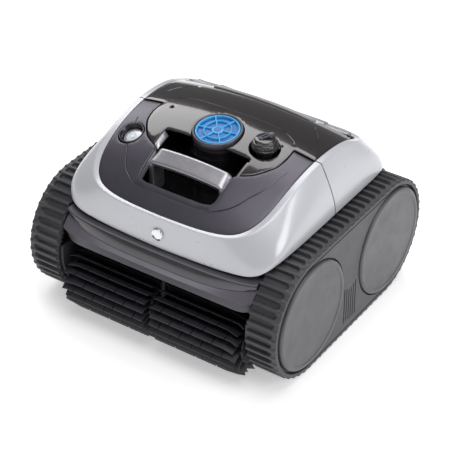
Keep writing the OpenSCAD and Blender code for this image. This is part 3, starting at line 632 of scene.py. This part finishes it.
def lid_loop():
    """Outline of the smoked lid with its tongue, cut out round the handle recess and the outlet."""
    ring_r = 37.4
    ring_y = PUMP.y
    reach = math.sqrt(ring_r ** 2 - (-48 - ring_y) ** 2)
    start = math.atan2(-48 - ring_y, reach)
    arc = []
    for k in range(25):
        a = start + (math.pi / 2 - start) * k / 24
        arc.append(Vector((ring_r * math.cos(a), ring_y + ring_r * math.sin(a))))
    tongue = [p for p in spline(TONGUE, 3.0) if p.y < 0]
    half = vectors((0, LID_REAR), (138, LID_REAR), (141.5, 101.5), (143.8, 95), (145.0, 84), (145.4, 60),
                   (145.3, 30), (144.9, 0.6), (111.6, 0.6)) + tongue
    half += vectors((73.2, -78.4), (72.2, -76), (72.2, -54), (71.2, -50), (67.5, -48),
                    (reach + 1.5, -48)) + arc
    return densify(half + left_half(half), OUTLINE_STEP)


def cubic(a, b, c, d, t):
    return a * (1 - t) ** 3 + b * (3 * t * (1 - t) ** 2) + c * (3 * t * t * (1 - t)) + d * t ** 3


def shell_rows(edges, hems):
    """Rows of the pearl shell from its top edge over a crisp shoulder down to its hem."""
    rows = []
    ts = [0.045, 0.1, 0.17, 0.25, 0.34, 0.44, 0.54, 0.64, 0.74, 0.83, 0.91, 0.965, 1.0]
    n = len(edges)
    columns = []
    for i in range(n):
        e = edges[i]
        h = hems[i]
        before = edges[max(i - 1, 0)]
        after = edges[min(i + 1, n - 1)]
        v = Vector((after.y - before.y, before.x - after.x))
        if abs(e.x) < 1e-6:
            v.x = 0
        v.normalize()
        side = min(abs(e.x) / 146, 1) ** 2
        band = 4.5 + 4.6 * side
        s = Vector((e.x + v.x * band, e.y + v.y * band, e.z - 0.4 - 0.5 * (1 - side)))
        out = Vector((h.x - s.x, h.y - s.y, 0))
        fall = s.z - h.z
        c1 = s + out * 0.52 - Vector((0, 0, 0.355 * fall))
        c2 = h + Vector((0, 0, 0.30 * fall))
        column = [e, e.lerp(s, 0.4), e.lerp(s, 0.72)]
        a = e.lerp(s, 0.80)
        b = cubic(s, c1, c2, h, 0.03)
        for k in (0.25, 0.5, 0.75):
            column.append(a * (1 - k) ** 2 + s * (2 * k * (1 - k)) + b * k * k)
        column += [cubic(s, c1, c2, h, t) for t in ts]
        columns.append(column)
    for k in range(len(columns[0])):
        rows.append([c[k] for c in columns])
    return rows


def matched(edge, hem, step=4.0):
    """Dense matching samples of an edge line and its hem."""
    edge3 = [Vector((p[0], p[1], 0)) for p in edge]
    drops = [p[2] if len(p) > 2 else 0.0 for p in edge]
    hem3 = [Vector(p) for p in hem]
    e = []
    h = []
    for k in range(len(edge3) - 1):
        count = max(int(round(max((edge3[k + 1] - edge3[k]).length,
                                  (hem3[k + 1] - hem3[k]).length) / step)), 2)
        for i in range(count):
            t = i / count
            e.append(curve_at(edge3, k, t))
            e[-1].z = drops[k] + (drops[k + 1] - drops[k]) * t
            h.append(curve_at(hem3, k, t))
    e.append(edge3[-1].copy())
    e[-1].z = drops[-1]
    h.append(hem3[-1])
    e = [Vector((p.x, p.y, top_z(p.x, p.y) - p.z)) for p in e]
    return e, h


def curve_at(pts, k, t):
    p1 = pts[k]
    p2 = pts[k + 1]
    p0 = pts[k - 1] if k > 0 else p1 * 2 - p2
    p3 = pts[k + 2] if k + 2 < len(pts) else p2 * 2 - p1
    return catmull(p0, p1, p2, p3, t)


def shell(name, edge, hem, node, centre_first):
    edges, hems = matched(edge, hem)
    rows = shell_rows(edges, hems)
    whole = []
    for row in rows:
        flip = [Vector((-p.x, p.y, p.z)) for p in row]
        if centre_first:
            whole.append(flip[::-1][:-1] + row)
        else:
            whole.append(row + flip[::-1][1:])
    thick = 2.6
    m = len(whole)
    n = len(whole[0])
    inner = []
    for k in range(m):
        line = []
        for i in range(n):
            along = whole[k][min(i + 1, n - 1)] - whole[k][max(i - 1, 0)]
            down = whole[min(k + 1, m - 1)][i] - whole[max(k - 1, 0)][i]
            normal = down.cross(along).normalized()
            line.append(whole[k][i] - normal * thick)
        inner.append(line)
    core = Vector((0, 0, 200))
    if (inner[m // 2][0] - core).length > (whole[m // 2][0] - core).length:
        inner = [[w * 2 - q for w, q in zip(a, b)] for a, b in zip(whole, inner)]
    loop_rows = whole + inner[::-1]
    b = Build()
    b.grid([list(r) for r in loop_rows], close_rows=True)
    for end in (0, n - 1):
        outer_line = [r[end] for r in whole]
        inner_line = [r[end] for r in inner]
        faces = [[k, k + 1, m + k + 1, m + k] for k in range(m - 1)]
        b.part(outer_line + inner_line, faces)
    return round_edges(b.done(name, "hull", "pearl_white", [node], sharp=50), 0.5, 2, 55)


def make_shells():
    shell("front_shell_skin", NOSE_EDGE, NOSE_HEM, "front_shell", True)
    shell("rear_shell_skin", TAIL_EDGE, TAIL_HEM, "rear_shell", False)


def make_covers():
    groove = spline(OUTER_GROOVE, 2.5)
    whole = [Vector((-p.x, p.y)) for p in groove][:-1] + groove[::-1]
    button_hole = circle(BUTTON[0], BUTTON[1], 19.0, 64)
    points, faces = panel(front_cover_loop(), [button_hole], [(whole, 2.4, 1.3)], edge=1.1)
    add_mesh("front_cover_plate", points, faces, "hull", "graphite_satin",
             ["front_cover"])

    for side, name in ((0, "lid_rear_band"), (-1, "lid_left_strip"), (1, "lid_right_strip")):
        corners = [(-86, 86, 7), (86, 86, 7), (86, 101.5, 3), (-86, 101.5, 3)]
        lift = 2.6
        if side:
            corners = [(90.5, 92, 3), (141.5, 92, 2), (140.5, 97, 2), (136.5, 102.0, 2), (90.5, 102.0, 2)]
            corners = [(side * x, y, r) for x, y, r in corners][::side]
            lift = 0.6
        points, faces = panel(rounded(corners), thickness=3.4, edge=1.6, lift=lift)
        add_mesh(name, points, faces, "lid", "hinge_grey")

    oval = spline(LID_OVAL, 2.5)
    oval = oval + [Vector((-p.x, p.y)) for p in oval[::-1]][1:]
    side = spline(LID_OUTER_GROOVE, 2.5)
    mirrored_side = [Vector((-p.x, p.y)) for p in side]
    holes = [circle(PORT.x, PORT.y - 1, 22.2, 56), circle(93, -4.5, 2.3, 14), circle(-93, -4.5, 2.3, 14)]
    points, faces = panel(lid_loop(), holes, [(oval, 2.0, 1.0), (side, 1.8, 0.9),
                                              (mirrored_side, 1.8, 0.9)], edge=1.0)
    b = Build()
    b.part(points, faces)
    rows = []
    for k in range(57):
        x = -139 + 278 * k / 56
        z = top_z(x, LID_REAR)
        low = HINGE.z + 8.6
        line = [(LID_REAR - 3.4, z - 1.5), (LID_REAR - 1.2, z - 0.35), (LID_REAR + 0.5, z - 1.8)]
        line += [(LID_REAR + 1.0, z - 5), (HINGE.y - 9.4, low + 3), (HINGE.y - 9.2, low),
                 (HINGE.y - 11.4, low), (LID_REAR - 2.4, z - 6)]
        rows.append([(x, y, h) for y, h in line])
    b.bar(rows)
    b.done("lid_panel", "lid", "smoked_lid", ["lid"])


def make_handle():
    """Grab bar: a rounded flat section swept along its arch, with both legs turned down."""
    y_mid = -91.6
    slope = math.atan(CROWN_TILT - 2 * CROWN_ARC_Y * y_mid)
    surface = top_z(0, y_mid)
    path = []
    leg_x = 59.6
    bend = 8.0
    for z in (196, 215, 232):
        path.append((-leg_x, z, (0, 1)))
    crown = surface - 5.2
    for k in range(9):
        a = math.pi / 2 * k / 8
        path.append((-leg_x + bend * (1 - math.cos(a)), crown - 2.4 - bend * (1 - math.sin(a)),
                     (math.sin(a), math.cos(a))))
    for k in range(1, 12):
        x = -leg_x + bend + (2 * (leg_x - bend)) * k / 12
        path.append((x, crown - 2.4 + 2.4 * (1 - (x / (leg_x - bend)) ** 2), (1, 0)))
    path += [(-x, z, (t[0], -t[1])) for x, z, t in reversed(path[:12])]
    half_w = 14.2
    half_t = 4.4
    section = rounded([(-half_w, -half_t, 2.6), (half_w, -half_t, 2.6), (half_w, half_t, 3.2),
                       (-half_w, half_t, 3.2)], 1.6)
    rows = []
    for x, z, (tx, tz) in path:
        lean = slope * abs(tx)
        normal = Vector((-tz, 0, tx))
        across = Vector((0, math.cos(lean), math.sin(lean)))
        up = (normal - across * normal.dot(across)).normalized()
        centre = Vector((x, y_mid, z))
        rows.append([centre + across * p.x + up * p.y for p in section])
    b = Build()
    b.bar(rows)
    b.done("handle_grip", "hull", "handle_grey", ["handle_bar"])


def make_recess_rim():
    """Sloped collar round the front part of the handle recess."""
    side = [(71.0, -80.4), (66.4, -83.6), (64.9, -88), (63.9, -110), (62.9, -124), (61.0, -128.4),
            (56.8, -131.1), (46.0, -133.3), (24, -134.3), (0, -134.7)]
    half = densify([Vector(p) for p in side], 3.0, closed=False)
    line = half + [Vector((-p.x, p.y)) for p in reversed(half[:-1])]
    rows = []
    offsets = [(-0.2, 3.0), (0.6, 2.2), (1.6, 5.0), (2.6, 10.0), (2.0, 12.0), (0.4, 10.0)]
    n = len(line)
    for off, down in offsets:
        row = []
        for k, p in enumerate(line):
            t = (line[min(k + 1, n - 1)] - line[max(k - 1, 0)]).normalized()
            q = p + Vector((t.y, -t.x)) * off
            row.append((q.x, q.y, top_z(p.x, p.y) - down))
        rows.append(row)
    b = Build()
    rows = [list(c) for c in zip(*rows)]
    b.bar(rows)
    b.done("recess_collar", "hull", "handle_grey")

    b = Build()
    for side in (-1, 1):
        rows = []
        for y in (-79.0, -77.5, -72.0, -66.0, -60.0, -54.5, -53.0):
            end = 1.2 if y in (-79.0, -53.0) else 0.0
            z = top_z(side * 69, y)
            line = [(71.6, 2.0 + end), (71.0, 1.2 + end), (70.2, 1.2 + end), (65.4, 6.6 + end), (65.0, 7.8),
                    (65.4, 9.5), (67.0, 9.8), (71.6, 6.0 + end)]
            rows.append([(side * x, y, z - down) for x, down in line][::side])
        b.bar(rows)
    b.done("recess_side_bevels", "hull", "handle_grey")


def outlet_place():
    return place_at(0, PUMP.y, top_z(0, PUMP.y), rx=7)


def make_outlet():
    lathed("outlet_ring", "lid", "graphite_satin",
           [(32.9, -6), (36.5, -6), (36.6, 1.8), (36.2, 2.6), (35.4, 3.1), (34.4, 3.2), (33.5, 2.9),
            (33.0, 2.2), (32.8, 1.2), (32.8, -6), (32.9, -6)], outlet_place(), 96, ["grille_ring"])

    lathed("outlet_dish", "lid", "grille_blue",
           [(0, 0.2), (10, 0.15), (22, -0.1), (30, -0.6), (32.3, -1.0), (32.3, -4.4), (0, -4.4)],
           outlet_place(), 96, ["outlet_grille"])

    b = Build()
    top = 2.9

    def ring(r0, r1):
        b.lathe([(r0, -1.2), (r0, top - 1.0), (r0 + 0.45, top - 0.25), (r0 + 1.0, top), (r1 - 1.0, top),
                 (r1 - 0.45, top - 0.25), (r1, top - 1.0), (r1, -1.2), (r0, -1.2)], outlet_place(), 96)

    ring(29.3, 32.3)
    ring(18.4, 20.8)
    for k in range(6):
        for r0, r1 in ((8.0, 18.9), (20.3, 29.8)):
            place = outlet_place() @ spin(60 * k + 10, "Z")
            section = [(-1.1, -1.2), (-1.1, 1.6), (-0.7, 2.3), (0, 2.5), (0.7, 2.3), (1.1, 1.6),
                       (1.1, -1.2)]
            b.bar([[(r, y, z) for y, z in section] for r in (r0, r1)], place)
    b.lathe([(0, 2.6), (4, 2.5), (7.4, 2.3), (8.3, 2.0), (8.8, 1.2), (8.8, -1.2), (0, -1.2)],
            outlet_place(), 64)
    b.done("outlet_ribs", "lid", "grille_sky")

    lathed("outlet_hub", "lid", "grille_blue",
           [(0, 2.95), (4.2, 2.9), (5.2, 2.8), (5.6, 2.3), (5.6, 1.5), (0, 1.5)], outlet_place(), 48)


def button_place():
    x, y = BUTTON
    return place_at(x, y, top_z(x, y), rx=19.1, ry=-8.3)


def make_button():
    lathed("button_bowl", "hull", "well_black",
           [(18.5, -16), (18.5, -1.0), (18.3, -0.1), (17.8, 0.3), (17.1, 0.1), (16.6, -0.8), (15.8, -3.5),
            (15.2, -7.5), (15.0, -11.5), (15.0, -13.8), (4.3, -13.8), (4.3, -16), (18.5, -16)],
            button_place(), 96, ["button_seat"])

    lathed("button_bezel", "hull", "graphite_satin",
           [(15.9, -2.6), (16.7, -0.9), (17.3, 0.4), (17.9, 0.75), (18.5, 0.6), (18.75, 0.0), (18.7, -1.2),
            (17.6, -2.2), (15.9, -2.6)], button_place(), 96)

    lathed("button_top", "power_button", "button_silver",
           [(0, -6.4), (8, -6.5), (12.6, -6.8), (13.8, -7.2), (14.3, -8.0), (14.4, -11.0), (3.9, -11.2),
            (3.9, -20.5), (0, -20.5)], button_place(), 80, ["power_button"])

    b = Build()
    rows = []
    stroke = ((-0.5, 0), (-0.35, 0.22), (0.35, 0.22), (0.5, 0), (0, -0.4))
    for k in range(33):
        a = math.radians(125 + 290 * k / 32)
        c = Vector((4.6 * math.cos(a), 4.6 * math.sin(a), -6.35))
        out = Vector((math.cos(a), math.sin(a), 0))
        rows.append([c + out * aside + Vector((0, 0, rise)) for aside, rise in stroke])
    b.bar(rows, button_place())
    section = [(-0.5, -6.35), (-0.35, -6.13), (0.35, -6.13), (0.5, -6.35), (0, -6.75)]
    b.bar([[(x, y, z) for x, z in section] for y in (1.2, 6.2)], button_place())
    b.done("button_glyph", "power_button", "glyph_blue")


def make_port_cap():
    base = CAP_LO.z
    b = Build()
    place = place_at(PORT.x, PORT.y, base)
    b.lathe([(13.15, 0), (18.0, 0), (18.9, 0.5), (19.2, 1.3), (19.2, 2.6), (18.6, 3.3), (17.6, 3.6),
             (17.6, 8.6), (17.2, 9.6), (16.3, 10.3), (15.2, 10.5), (15.0, 10.9), (15.0, 13.6),
             (14.6, 14.8), (13.6, 15.6), (11.6, 15.95), (0, 16.0), (0, 11), (13.15, 6.2), (13.15, 0)],
             place, 90)
    teeth = 30
    for k in range(teeth):
        turn = place @ Matrix.Rotation(2 * math.pi * k / teeth, 4, "Z")
        tooth = [(-0.95, 17.2), (-0.8, 18.5), (-0.4, 18.95), (0.4, 18.95), (0.8, 18.5), (0.95, 17.2)]
        b.bar([[(r, y, z) for y, r in tooth] for z in (3.2, 8.0)] +
              [[(r - 0.8, y * 0.8, 9.0) for y, r in tooth]], turn)
    b.done("cap_body", "port_cap", "cap_black", ["port_cap"])

    b = Build()
    outline = turned(rounded([(-8, -3.6, 3.4), (13, -2.6, 2.4), (13, 2.6, 2.4), (-8, 3.6, 3.4)], 1.2), True)
    slot = turned(rounded([(-5.2, -1.4, 1.3), (5.0, -1.2, 1.1), (5.0, 1.2, 1.1), (-5.2, 1.4, 1.3)], 1.2),
                  True)
    tab_turn = spin(52, "Z")
    tilt = place_at(PORT.x, PORT.y, base + 15.9) @ tab_turn @ place_at(0, 0, 2.5, ry=-16)

    def sheet_ring(loop, inner, z0, z1, soft):
        count = 60
        outer_line = resampled(loop, count)
        inner_line = resampled(inner, count)

        def crest(share):
            return [(p.x + (q.x - p.x) * share, p.y + (q.y - p.y) * share, z1)
                    for p, q in zip(outer_line, inner_line)]

        rows = [[(p.x, p.y, z0) for p in outer_line], [(p.x, p.y, z1 - soft) for p in outer_line],
                crest(0.25), crest(0.75),
                [(q.x, q.y, z1 - soft) for q in inner_line], [(q.x, q.y, z0) for q in inner_line]]
        b.grid(rows, close_rows=True, close_cols=True, place=tilt)

    sheet_ring(outline, slot, -1.5, 1.3, 0.7)
    b.lathe([(0, 2.4), (3.0, 2.3), (3.8, 1.6), (4.0, 0), (0, 0)],
            place_at(PORT.x, PORT.y, base + 15.6) @ tab_turn @ place_at(-6.0, 0, 0), 32)
    b.lathe([(0, 4.6), (2.4, 4.5), (3.0, 3.8), (3.2, 0), (0, 0)],
            place_at(PORT.x, PORT.y, base + 15.6) @ tab_turn @ place_at(7.5, 0, 0), 32)
    # The tab is as dark as the cap body; its lighter graphite colour is a painted highlight standing in for
    # the bright light along its edges.
    b.done("cap_tab", "port_cap", "graphite_satin", sharp=50)


def resampled(loop, count):
    """Even samples of a closed loop that start at its angle zero."""
    middle = sum(loop, Vector((0, 0))) / len(loop)
    angles = np.unwrap([math.atan2(p.y - middle.y, p.x - middle.x) for p in loop])
    order = np.argsort(angles % (2 * math.pi))
    keys = np.array([angles[i] % (2 * math.pi) for i in order])
    xs = np.array([loop[i].x for i in order])
    ys = np.array([loop[i].y for i in order])
    out = []
    for k in range(count):
        a = 2 * math.pi * k / count
        out.append(Vector((float(np.interp(a, keys, xs, period=2 * math.pi)),
                           float(np.interp(a, keys, ys, period=2 * math.pi)))))
    return out


def make_badge():
    place = place_at(BADGE.x, BADGE.y, BADGE.z, rx=86)
    lathed("nose_badge", "hull", "badge_chrome",
           [(0, 0.9), (3.5, 0.7), (6.4, 0.25), (7.4, 0.5), (7.9, 1.3), (8.7, 1.7), (9.3, 1.3), (9.5, 0.4),
            (9.5, -2.0), (0, -2.0)], place, 80, ["badge"], sharp=60)


# ---- bumpers ----

def ends(x, reach, power):
    return (abs(x) / reach) ** power


def rim_y(x):
    return -178 + 25 * (1 - (1 - ends(x, 172, 4)) ** 0.25) + 1.5 * ends(x, 120, 2)


def rim_z(x):
    return 161.6 + 0.427 * (rim_y(x) + 178)


def edge_line(start, *bends):
    """Line along the front: a value on the centre line and (gain, reach, power) bends to both ends."""
    def at(x):
        value = start
        for gain, reach, power in bends:
            value += gain * ends(x, reach, power)
        return value
    return at


lens_y = edge_line(-184, (17, 163, 3.5))
lens_z = edge_line(142, (14, 163, 4))
lip_y = edge_line(-188, (2, 145, 2), (14, 170, 24))
lip_z = edge_line(135, (2.3, 145, 2), (13, 170, 24))
brow_y = edge_line(-181, (8, 161, 20))
brow_z = edge_line(118, (12, 161, 20))
BUMPER_END = LIP_HI.x


def bumper_xs(count=72):
    out = []
    for k in range(count + 1):
        s = 2 * k / count - 1
        out.append(BUMPER_END * s * (1.35 - 0.35 * s * s))
    return out


def bumper_piece(name, section, material, node, soften):
    xs = bumper_xs()
    b = Build()
    b.bar([[(x, y, z) for y, z in section(x)] for x in xs])
    return round_edges(b.done(name, "hull", material, [node], sharp=30), soften, 3, 28)


def make_bumpers():
    back = -151.0

    def structure(x):
        ry, rz = rim_y(x), rim_z(x)
        return [(back, rz), (ry, rz), (ry - 0.8, rz - 3.5), (ry + 3.0, rz - 3.7),
                (lens_y(x) + 3.0, lens_z(x)), (lip_y(x) + 5.6, lip_z(x) + 0.2),
                (lip_y(x) + 5.6, lip_z(x) - 0.5), (lip_y(x) + 1.2, lip_z(x) - 0.7),
                ((lip_y(x) + brow_y(x)) / 2 + 1.5, (lip_z(x) + brow_z(x)) / 2), (brow_y(x), brow_z(x)),
                (back, 112)]

    def lens(x):
        ry, rz = rim_y(x), rim_z(x)
        ly, lz = lens_y(x), lens_z(x)
        bulge = 0.7
        return [(ry + 2.2, rz - 4.1), (ry - 0.9, rz - 4.1),
                ((2 * ry + ly) / 3 - 0.6 - bulge, (2 * rz + lz) / 3 - 2.6),
                ((ry + 2 * ly) / 3 - bulge, (rz + 2 * lz) / 3 - 1.3), (ly, lz), (ly + 2.4, lz + 0.1)]

    def lip(x):
        ly, lz = lens_y(x), lens_z(x)
        py, pz = lip_y(x), lip_z(x)
        return [(ly + 2.4, lz - 0.2), (ly, lz - 0.3), ((ly + py) / 2 + 0.3, (lz + pz) / 2), (py, pz),
                (py + 5, pz + 0.3)]

    bumper_piece("bumper_frame", structure, "bumper_grey", "front_bumper", 0.5)
    bumper_piece("bumper_band", lens, "lens_dark", "bumper_lens", 0.4)
    bumper_piece("bumper_edge", lip, "lip_silver", "bumper_lip", 0.5)


# ---- tracks ----

LUGS = 70
BELT_TOP = BELT_HI.z - AXLE_Z
BELT_FLOOR = BELT_TOP - 5.2
BELT_INNER = BELT_TOP - 7.4
BELT_LINE = BELT_TOP - 2.2


def on_loop(s, r):
    """Point and outward direction at length s along the belt, at distance r from the wheel axles."""
    straight = 2 * AXLE_Y
    bend = math.pi * BELT_LINE
    s = s % (2 * (straight + bend))
    if s < straight:
        return AXLE_Y - s, AXLE_Z + r
    s -= straight
    if s < bend:
        a = math.pi / 2 + s / BELT_LINE
        return -AXLE_Y + r * math.cos(a), AXLE_Z + r * math.sin(a)
    s -= bend
    if s < straight:
        return -AXLE_Y + s, AXLE_Z - r
    s -= straight
    a = -math.pi / 2 + s / BELT_LINE
    return AXLE_Y + r * math.cos(a), AXLE_Z + r * math.sin(a)


def smooth(t):
    t = min(max(t, 0.0), 1.0)
    return t * t * (3 - 2 * t)


def belt_height(s, x, pitch, width):
    """Radius of the tread at phase s inside one pitch and distance x from the inner edge."""
    from_mid = abs(s - pitch / 2)
    half = 4.9
    end = width - 7.6
    reach = half
    if x > end - half:
        over = x - (end - half)
        reach = math.sqrt(max(half * half - over * over, 0)) if over < half else -2.0
    valley = smooth((reach - from_mid) / 1.5 + 0.25)
    rib = smooth((from_mid - (pitch / 2 - 3.4)) / 2.2)
    crest = BELT_TOP - 1.5 * (1 - rib) * smooth((x - end) / 3.0 + 0.6)
    rim_fall = 1.0 * smooth((x - (width - 1.6)) / 1.6)
    return crest - rim_fall - (BELT_TOP - BELT_FLOOR) * valley


def make_belt(side, node, name):
    width = BELT_HI.x - BELT_LO.x
    x0 = BELT_LO.x
    total = 4 * AXLE_Y + 2 * math.pi * BELT_LINE
    pitch = total / LUGS
    phases = [0, 0.9, 1.7, 2.4, 3.3, 4.6, 7.15, 9.7, 11.0, 11.9, 12.6, 13.4]
    phases = [p * pitch / 14.3 for p in phases]
    xs = [0.0, 1.2, 8, 16, 24, 30, 33, 34.5, 36, 37.2, 38.2, 39.2, 40.2, 41.2, 42.4, 44.5, 46.4, 47.4,
          width]
    rows = []
    for lug in range(LUGS):
        for p in phases:
            s = lug * pitch + p
            row = []
            for x in xs:
                y, z = on_loop(s, belt_height(p, x, pitch, width))
                row.append((side * (x0 + x), y, z))
            y, z = on_loop(s, BELT_INNER)
            row.append((side * (x0 + width), y, z))
            row.append((side * x0, y, z))
            rows.append(row)
    b = Build()
    b.grid(rows, close_rows=True, close_cols=True)
    b.done(name, "hull", "track_rubber", [node], sharp=60)


def make_disc(side, end, node, body, name):
    """Wheel cover: broad flat face, low raised border and a soft outer edge."""
    face = DISC_HI.x
    r = (DISC_HI.z - DISC_LO.z) / 2
    turn = spin(90 * side, "Y")
    place = Matrix.Translation((side * face, end * AXLE_Y, AXLE_Z)) @ turn
    lathed(name, body, "disc_grey",
           [(0, -0.9), (30, -0.85), (60, -0.9), (r - 9.6, -1.1), (r - 8.6, -1.0), (r - 8.0, -0.5),
            (r - 7.2, -0.1), (r - 6.0, 0), (r - 3.0, -0.1), (r - 1.4, -0.6), (r - 0.3, -1.8), (r, -3.4),
            (r, -12.6), (r - 6, -12.6), (0, -6)], place, 128, [node], sharp=50)


def make_tracks():
    make_belt(-1, "left_belt", "left_track")
    make_belt(1, "right_belt", "right_track")
    for side, word in ((-1, "left"), (1, "right")):
        for end, place in ((-1, "front"), (1, "rear")):
            key = f"{place}_{word}"
            make_disc(side, end, f"{key}_disc", f"{key}_wheel", f"{key}_cover")


# ---- brush ----

SLEEVE_R = 19.0
SLEEVE_BORE = 15.1
BLADE_ROWS = 24
BLADES_IN_ROW = 6
BLADE_WIDTH = 34.0
BLADE_GAP = 1.6
BLADE_END_GAP = 0.4
SHORTEST_BLADE = 5
FAN_ZONE = 8
BLADE_TIP = 51.4
BLADE_BOW = 0.15
BLADE_FAN = 3.6


def make_brush(side, body, node, name):
    """Rows of thin trailing blades with half-pitch offset slits; the last blades fan out."""
    b = Build()
    start = CORE_LO.x
    length = CORE_HI.x - CORE_LO.x
    place = Matrix.Translation((0, BRUSH.y, BRUSH.z))
    segments = 60
    stop = start + length
    sleeve = [(SLEEVE_R, start), (SLEEVE_R, stop), (SLEEVE_BORE, stop), (SLEEVE_BORE, start),
              (SLEEVE_R, start)]
    rows = []
    for r, x in sleeve:
        rows.append([(side * x, r * c, r * s) for c, s in spokes(segments)])
    b.grid(rows, close_cols=True, place=place)
    pitch = BLADE_WIDTH + BLADE_GAP
    stations = [(17.5, 0.0, 1.3), (28.0, 1.5, 1.1), (38.0, 5.0, 0.95), (46.0, 9.5, 0.8),
                (BLADE_TIP, 14.0, 0.6)]
    for row in range(BLADE_ROWS):
        phase = row % 2
        base = 2 * math.pi * row / BLADE_ROWS
        for k in range(BLADES_IN_ROW):
            x0 = max(k * pitch - phase * pitch / 2, BLADE_END_GAP)
            x1 = min(k * pitch - phase * pitch / 2 + BLADE_WIDTH, length - BLADE_END_GAP)
            if x1 - x0 < SHORTEST_BLADE:
                continue
            last = x1 > length - FAN_ZONE
            sections = []
            for r, swing, half in stations:
                a = base + math.radians(swing)
                out = Vector((0, math.cos(a), math.sin(a)))
                cross = Vector((0, -math.sin(a), math.cos(a)))
                line = []
                middle = (x0 + x1) / 2
                for x, s in ((x0, -1), (middle, -1), (x1, -1), (x1, 1), (middle, 1), (x0, 1)):
                    bow = BLADE_BOW * (r / BLADE_TIP) ** 2 * (1 if x == middle else 0)
                    fan = BLADE_FAN * (r / BLADE_TIP) ** 2 if last and x == x1 else 0.0
                    across = cross * (s * half + bow + fan)
                    line.append(Vector((side * (start + x), 0, 0)) + out * (r - fan * 0.5) + across)
                sections.append(line)
            b.bar(sections, place)
    b.done(name, body, "brush_rubber", [node], sharp=50)


def make_brush_rings(side, body, name):
    """Rings at both ends of a roller that the end blades lean on."""
    b = Build()
    for x in (CORE_LO.x + 0.6, CORE_HI.x - 3.4):
        turn = spin(90 * side, "Y")
        place = Matrix.Translation((side * x, BRUSH.y, BRUSH.z)) @ turn
        b.lathe([(18.8, 0), (30.4, 0), (31.2, 0.8), (31.2, 2.0), (30.4, 2.8), (18.8, 2.8), (18.8, 0)],
                place, 72)
    b.done(name, body, "brush_rubber", sharp=40)


def make_brushes():
    for side, word in ((-1, "left"), (1, "right")):
        make_brush(side, f"{word}_brush", f"{word}_brush_blades", f"{word}_brush_sleeve")
        make_brush_rings(side, f"{word}_brush", f"{word}_brush_rings")


# ---- CAD nodes that stay visible ----

def soften_cad_nodes():
    for node in ("rear_deck", "hinge_cover", "brush_bracket", "brush_end_plates", "bottom_plate", "hull_tub"):
        round_edges(frame["nodes"][node], 0.8, 2, 40)
    for node in ("left_side_frame", "right_side_frame", "handle_well"):
        round_edges(frame["nodes"][node], 0.6, 2, 40)
    round_edges(frame["nodes"]["rear_bumper"], 2.5, 2, 40)


# ---- camera, light and floor ----

CAMERA_AZIMUTH = 34.097
CAMERA_ELEVATION = 35.788
CAMERA_AT = (1193.03, -1769.38, 1638.39)
CAMERA_LENS = 143.29
CAMERA_SENSOR = 36.0
FLOOR_REACH = 6.0
FLOOR_GLOW = 0.42
ROOM_LIGHT = 0.15
LIGHT_AIM = (0, 0, 0.15)


def make_camera():
    azimuth = math.radians(CAMERA_AZIMUTH)
    elevation = math.radians(CAMERA_ELEVATION)
    back = Vector((math.sin(azimuth) * math.cos(elevation), -math.cos(azimuth) * math.cos(elevation),
                   math.sin(elevation)))
    right = Vector((math.cos(azimuth), math.sin(azimuth), 0))
    up = back.cross(right)
    data = bpy.data.cameras.new("view")
    data.sensor_width = CAMERA_SENSOR
    data.lens = CAMERA_LENS
    data.clip_start = 0.05
    data.clip_end = 50.0
    camera = linked("view", data)
    turn = Matrix((right, up, back)).transposed().to_4x4()
    camera.matrix_world = Matrix.Translation(Vector(CAMERA_AT) * MM) @ turn
    SCENE.camera = camera


def softbox(name, place, size, power, wide=None):
    """Rectangular studio light; wide is the direction of its long side."""
    data = bpy.data.lights.new(name, "AREA")
    data.shape = "RECTANGLE"
    data.size = size[0]
    data.size_y = size[1]
    data.energy = power
    light = linked(name, data)
    back = (Vector(place) - Vector(LIGHT_AIM)).normalized()
    side = Vector(wide) if wide else Vector((0, 0, 1)).cross(back)
    side = (side - back * side.dot(back)).normalized()
    turn = Matrix((side, back.cross(side), back)).transposed().to_4x4()
    light.matrix_world = Matrix.Translation(Vector(place)) @ turn


def make_floor():
    n = Nodes("paper_floor")
    paper = n.noise(3.0, 3.0)
    tones = [(0.3, (0.90, 0.90, 0.905)), (0.7, (0.93, 0.93, 0.935))]
    n.paint(paper, tones)
    n.gloss(paper, 0.75, 0.9)
    n.bump(n.noise(500.0), 0.02)
    n.set(Emission_Color=(1.0, 1.0, 1.0, 1.0), Emission_Strength=FLOOR_GLOW)
    mesh = bpy.data.meshes.new("studio_floor")
    corners = [(x * FLOOR_REACH, y * FLOOR_REACH, 0) for x, y in ((-1, -1), (1, -1), (1, 1), (-1, 1))]
    mesh.from_pydata(corners, [], [(0, 1, 2, 3)])
    mesh.materials.append(n.material)
    floor = linked("studio_floor", mesh)


def make_light():
    world = bpy.data.worlds.new("studio")
    world.use_nodes = True
    world.node_tree.nodes["Background"].inputs["Color"].default_value = (1, 1, 1, 1)
    world.node_tree.nodes["Background"].inputs["Strength"].default_value = ROOM_LIGHT
    SCENE.world = world
    softbox("back_left_sky", (-1.30, 1.17, 2.10), (3.2, 1.3), 40, wide=(0.80, 0.10, 0.55))
    softbox("overhead", (0.5, -0.3, 3.2), (2.2, 2.2), 40)
    softbox("right_key", (2.6, 0.1, 1.5), (1.8, 1.6), 34)
    softbox("front_fill", (-0.9, -2.8, 1.2), (2.0, 1.2), 8)
    SCENE.view_settings.view_transform = "Standard"
    SCENE.view_settings.look = "None"
    SCENE.view_settings.exposure = 0.0


# ---- the scene ----

make_camera()
dress_cad_nodes()
make_shells()
make_covers()
make_handle()
make_recess_rim()
make_outlet()
make_button()
make_port_cap()
make_badge()
make_bumpers()
make_tracks()
make_brushes()
soften_cad_nodes()
make_floor()
make_light()
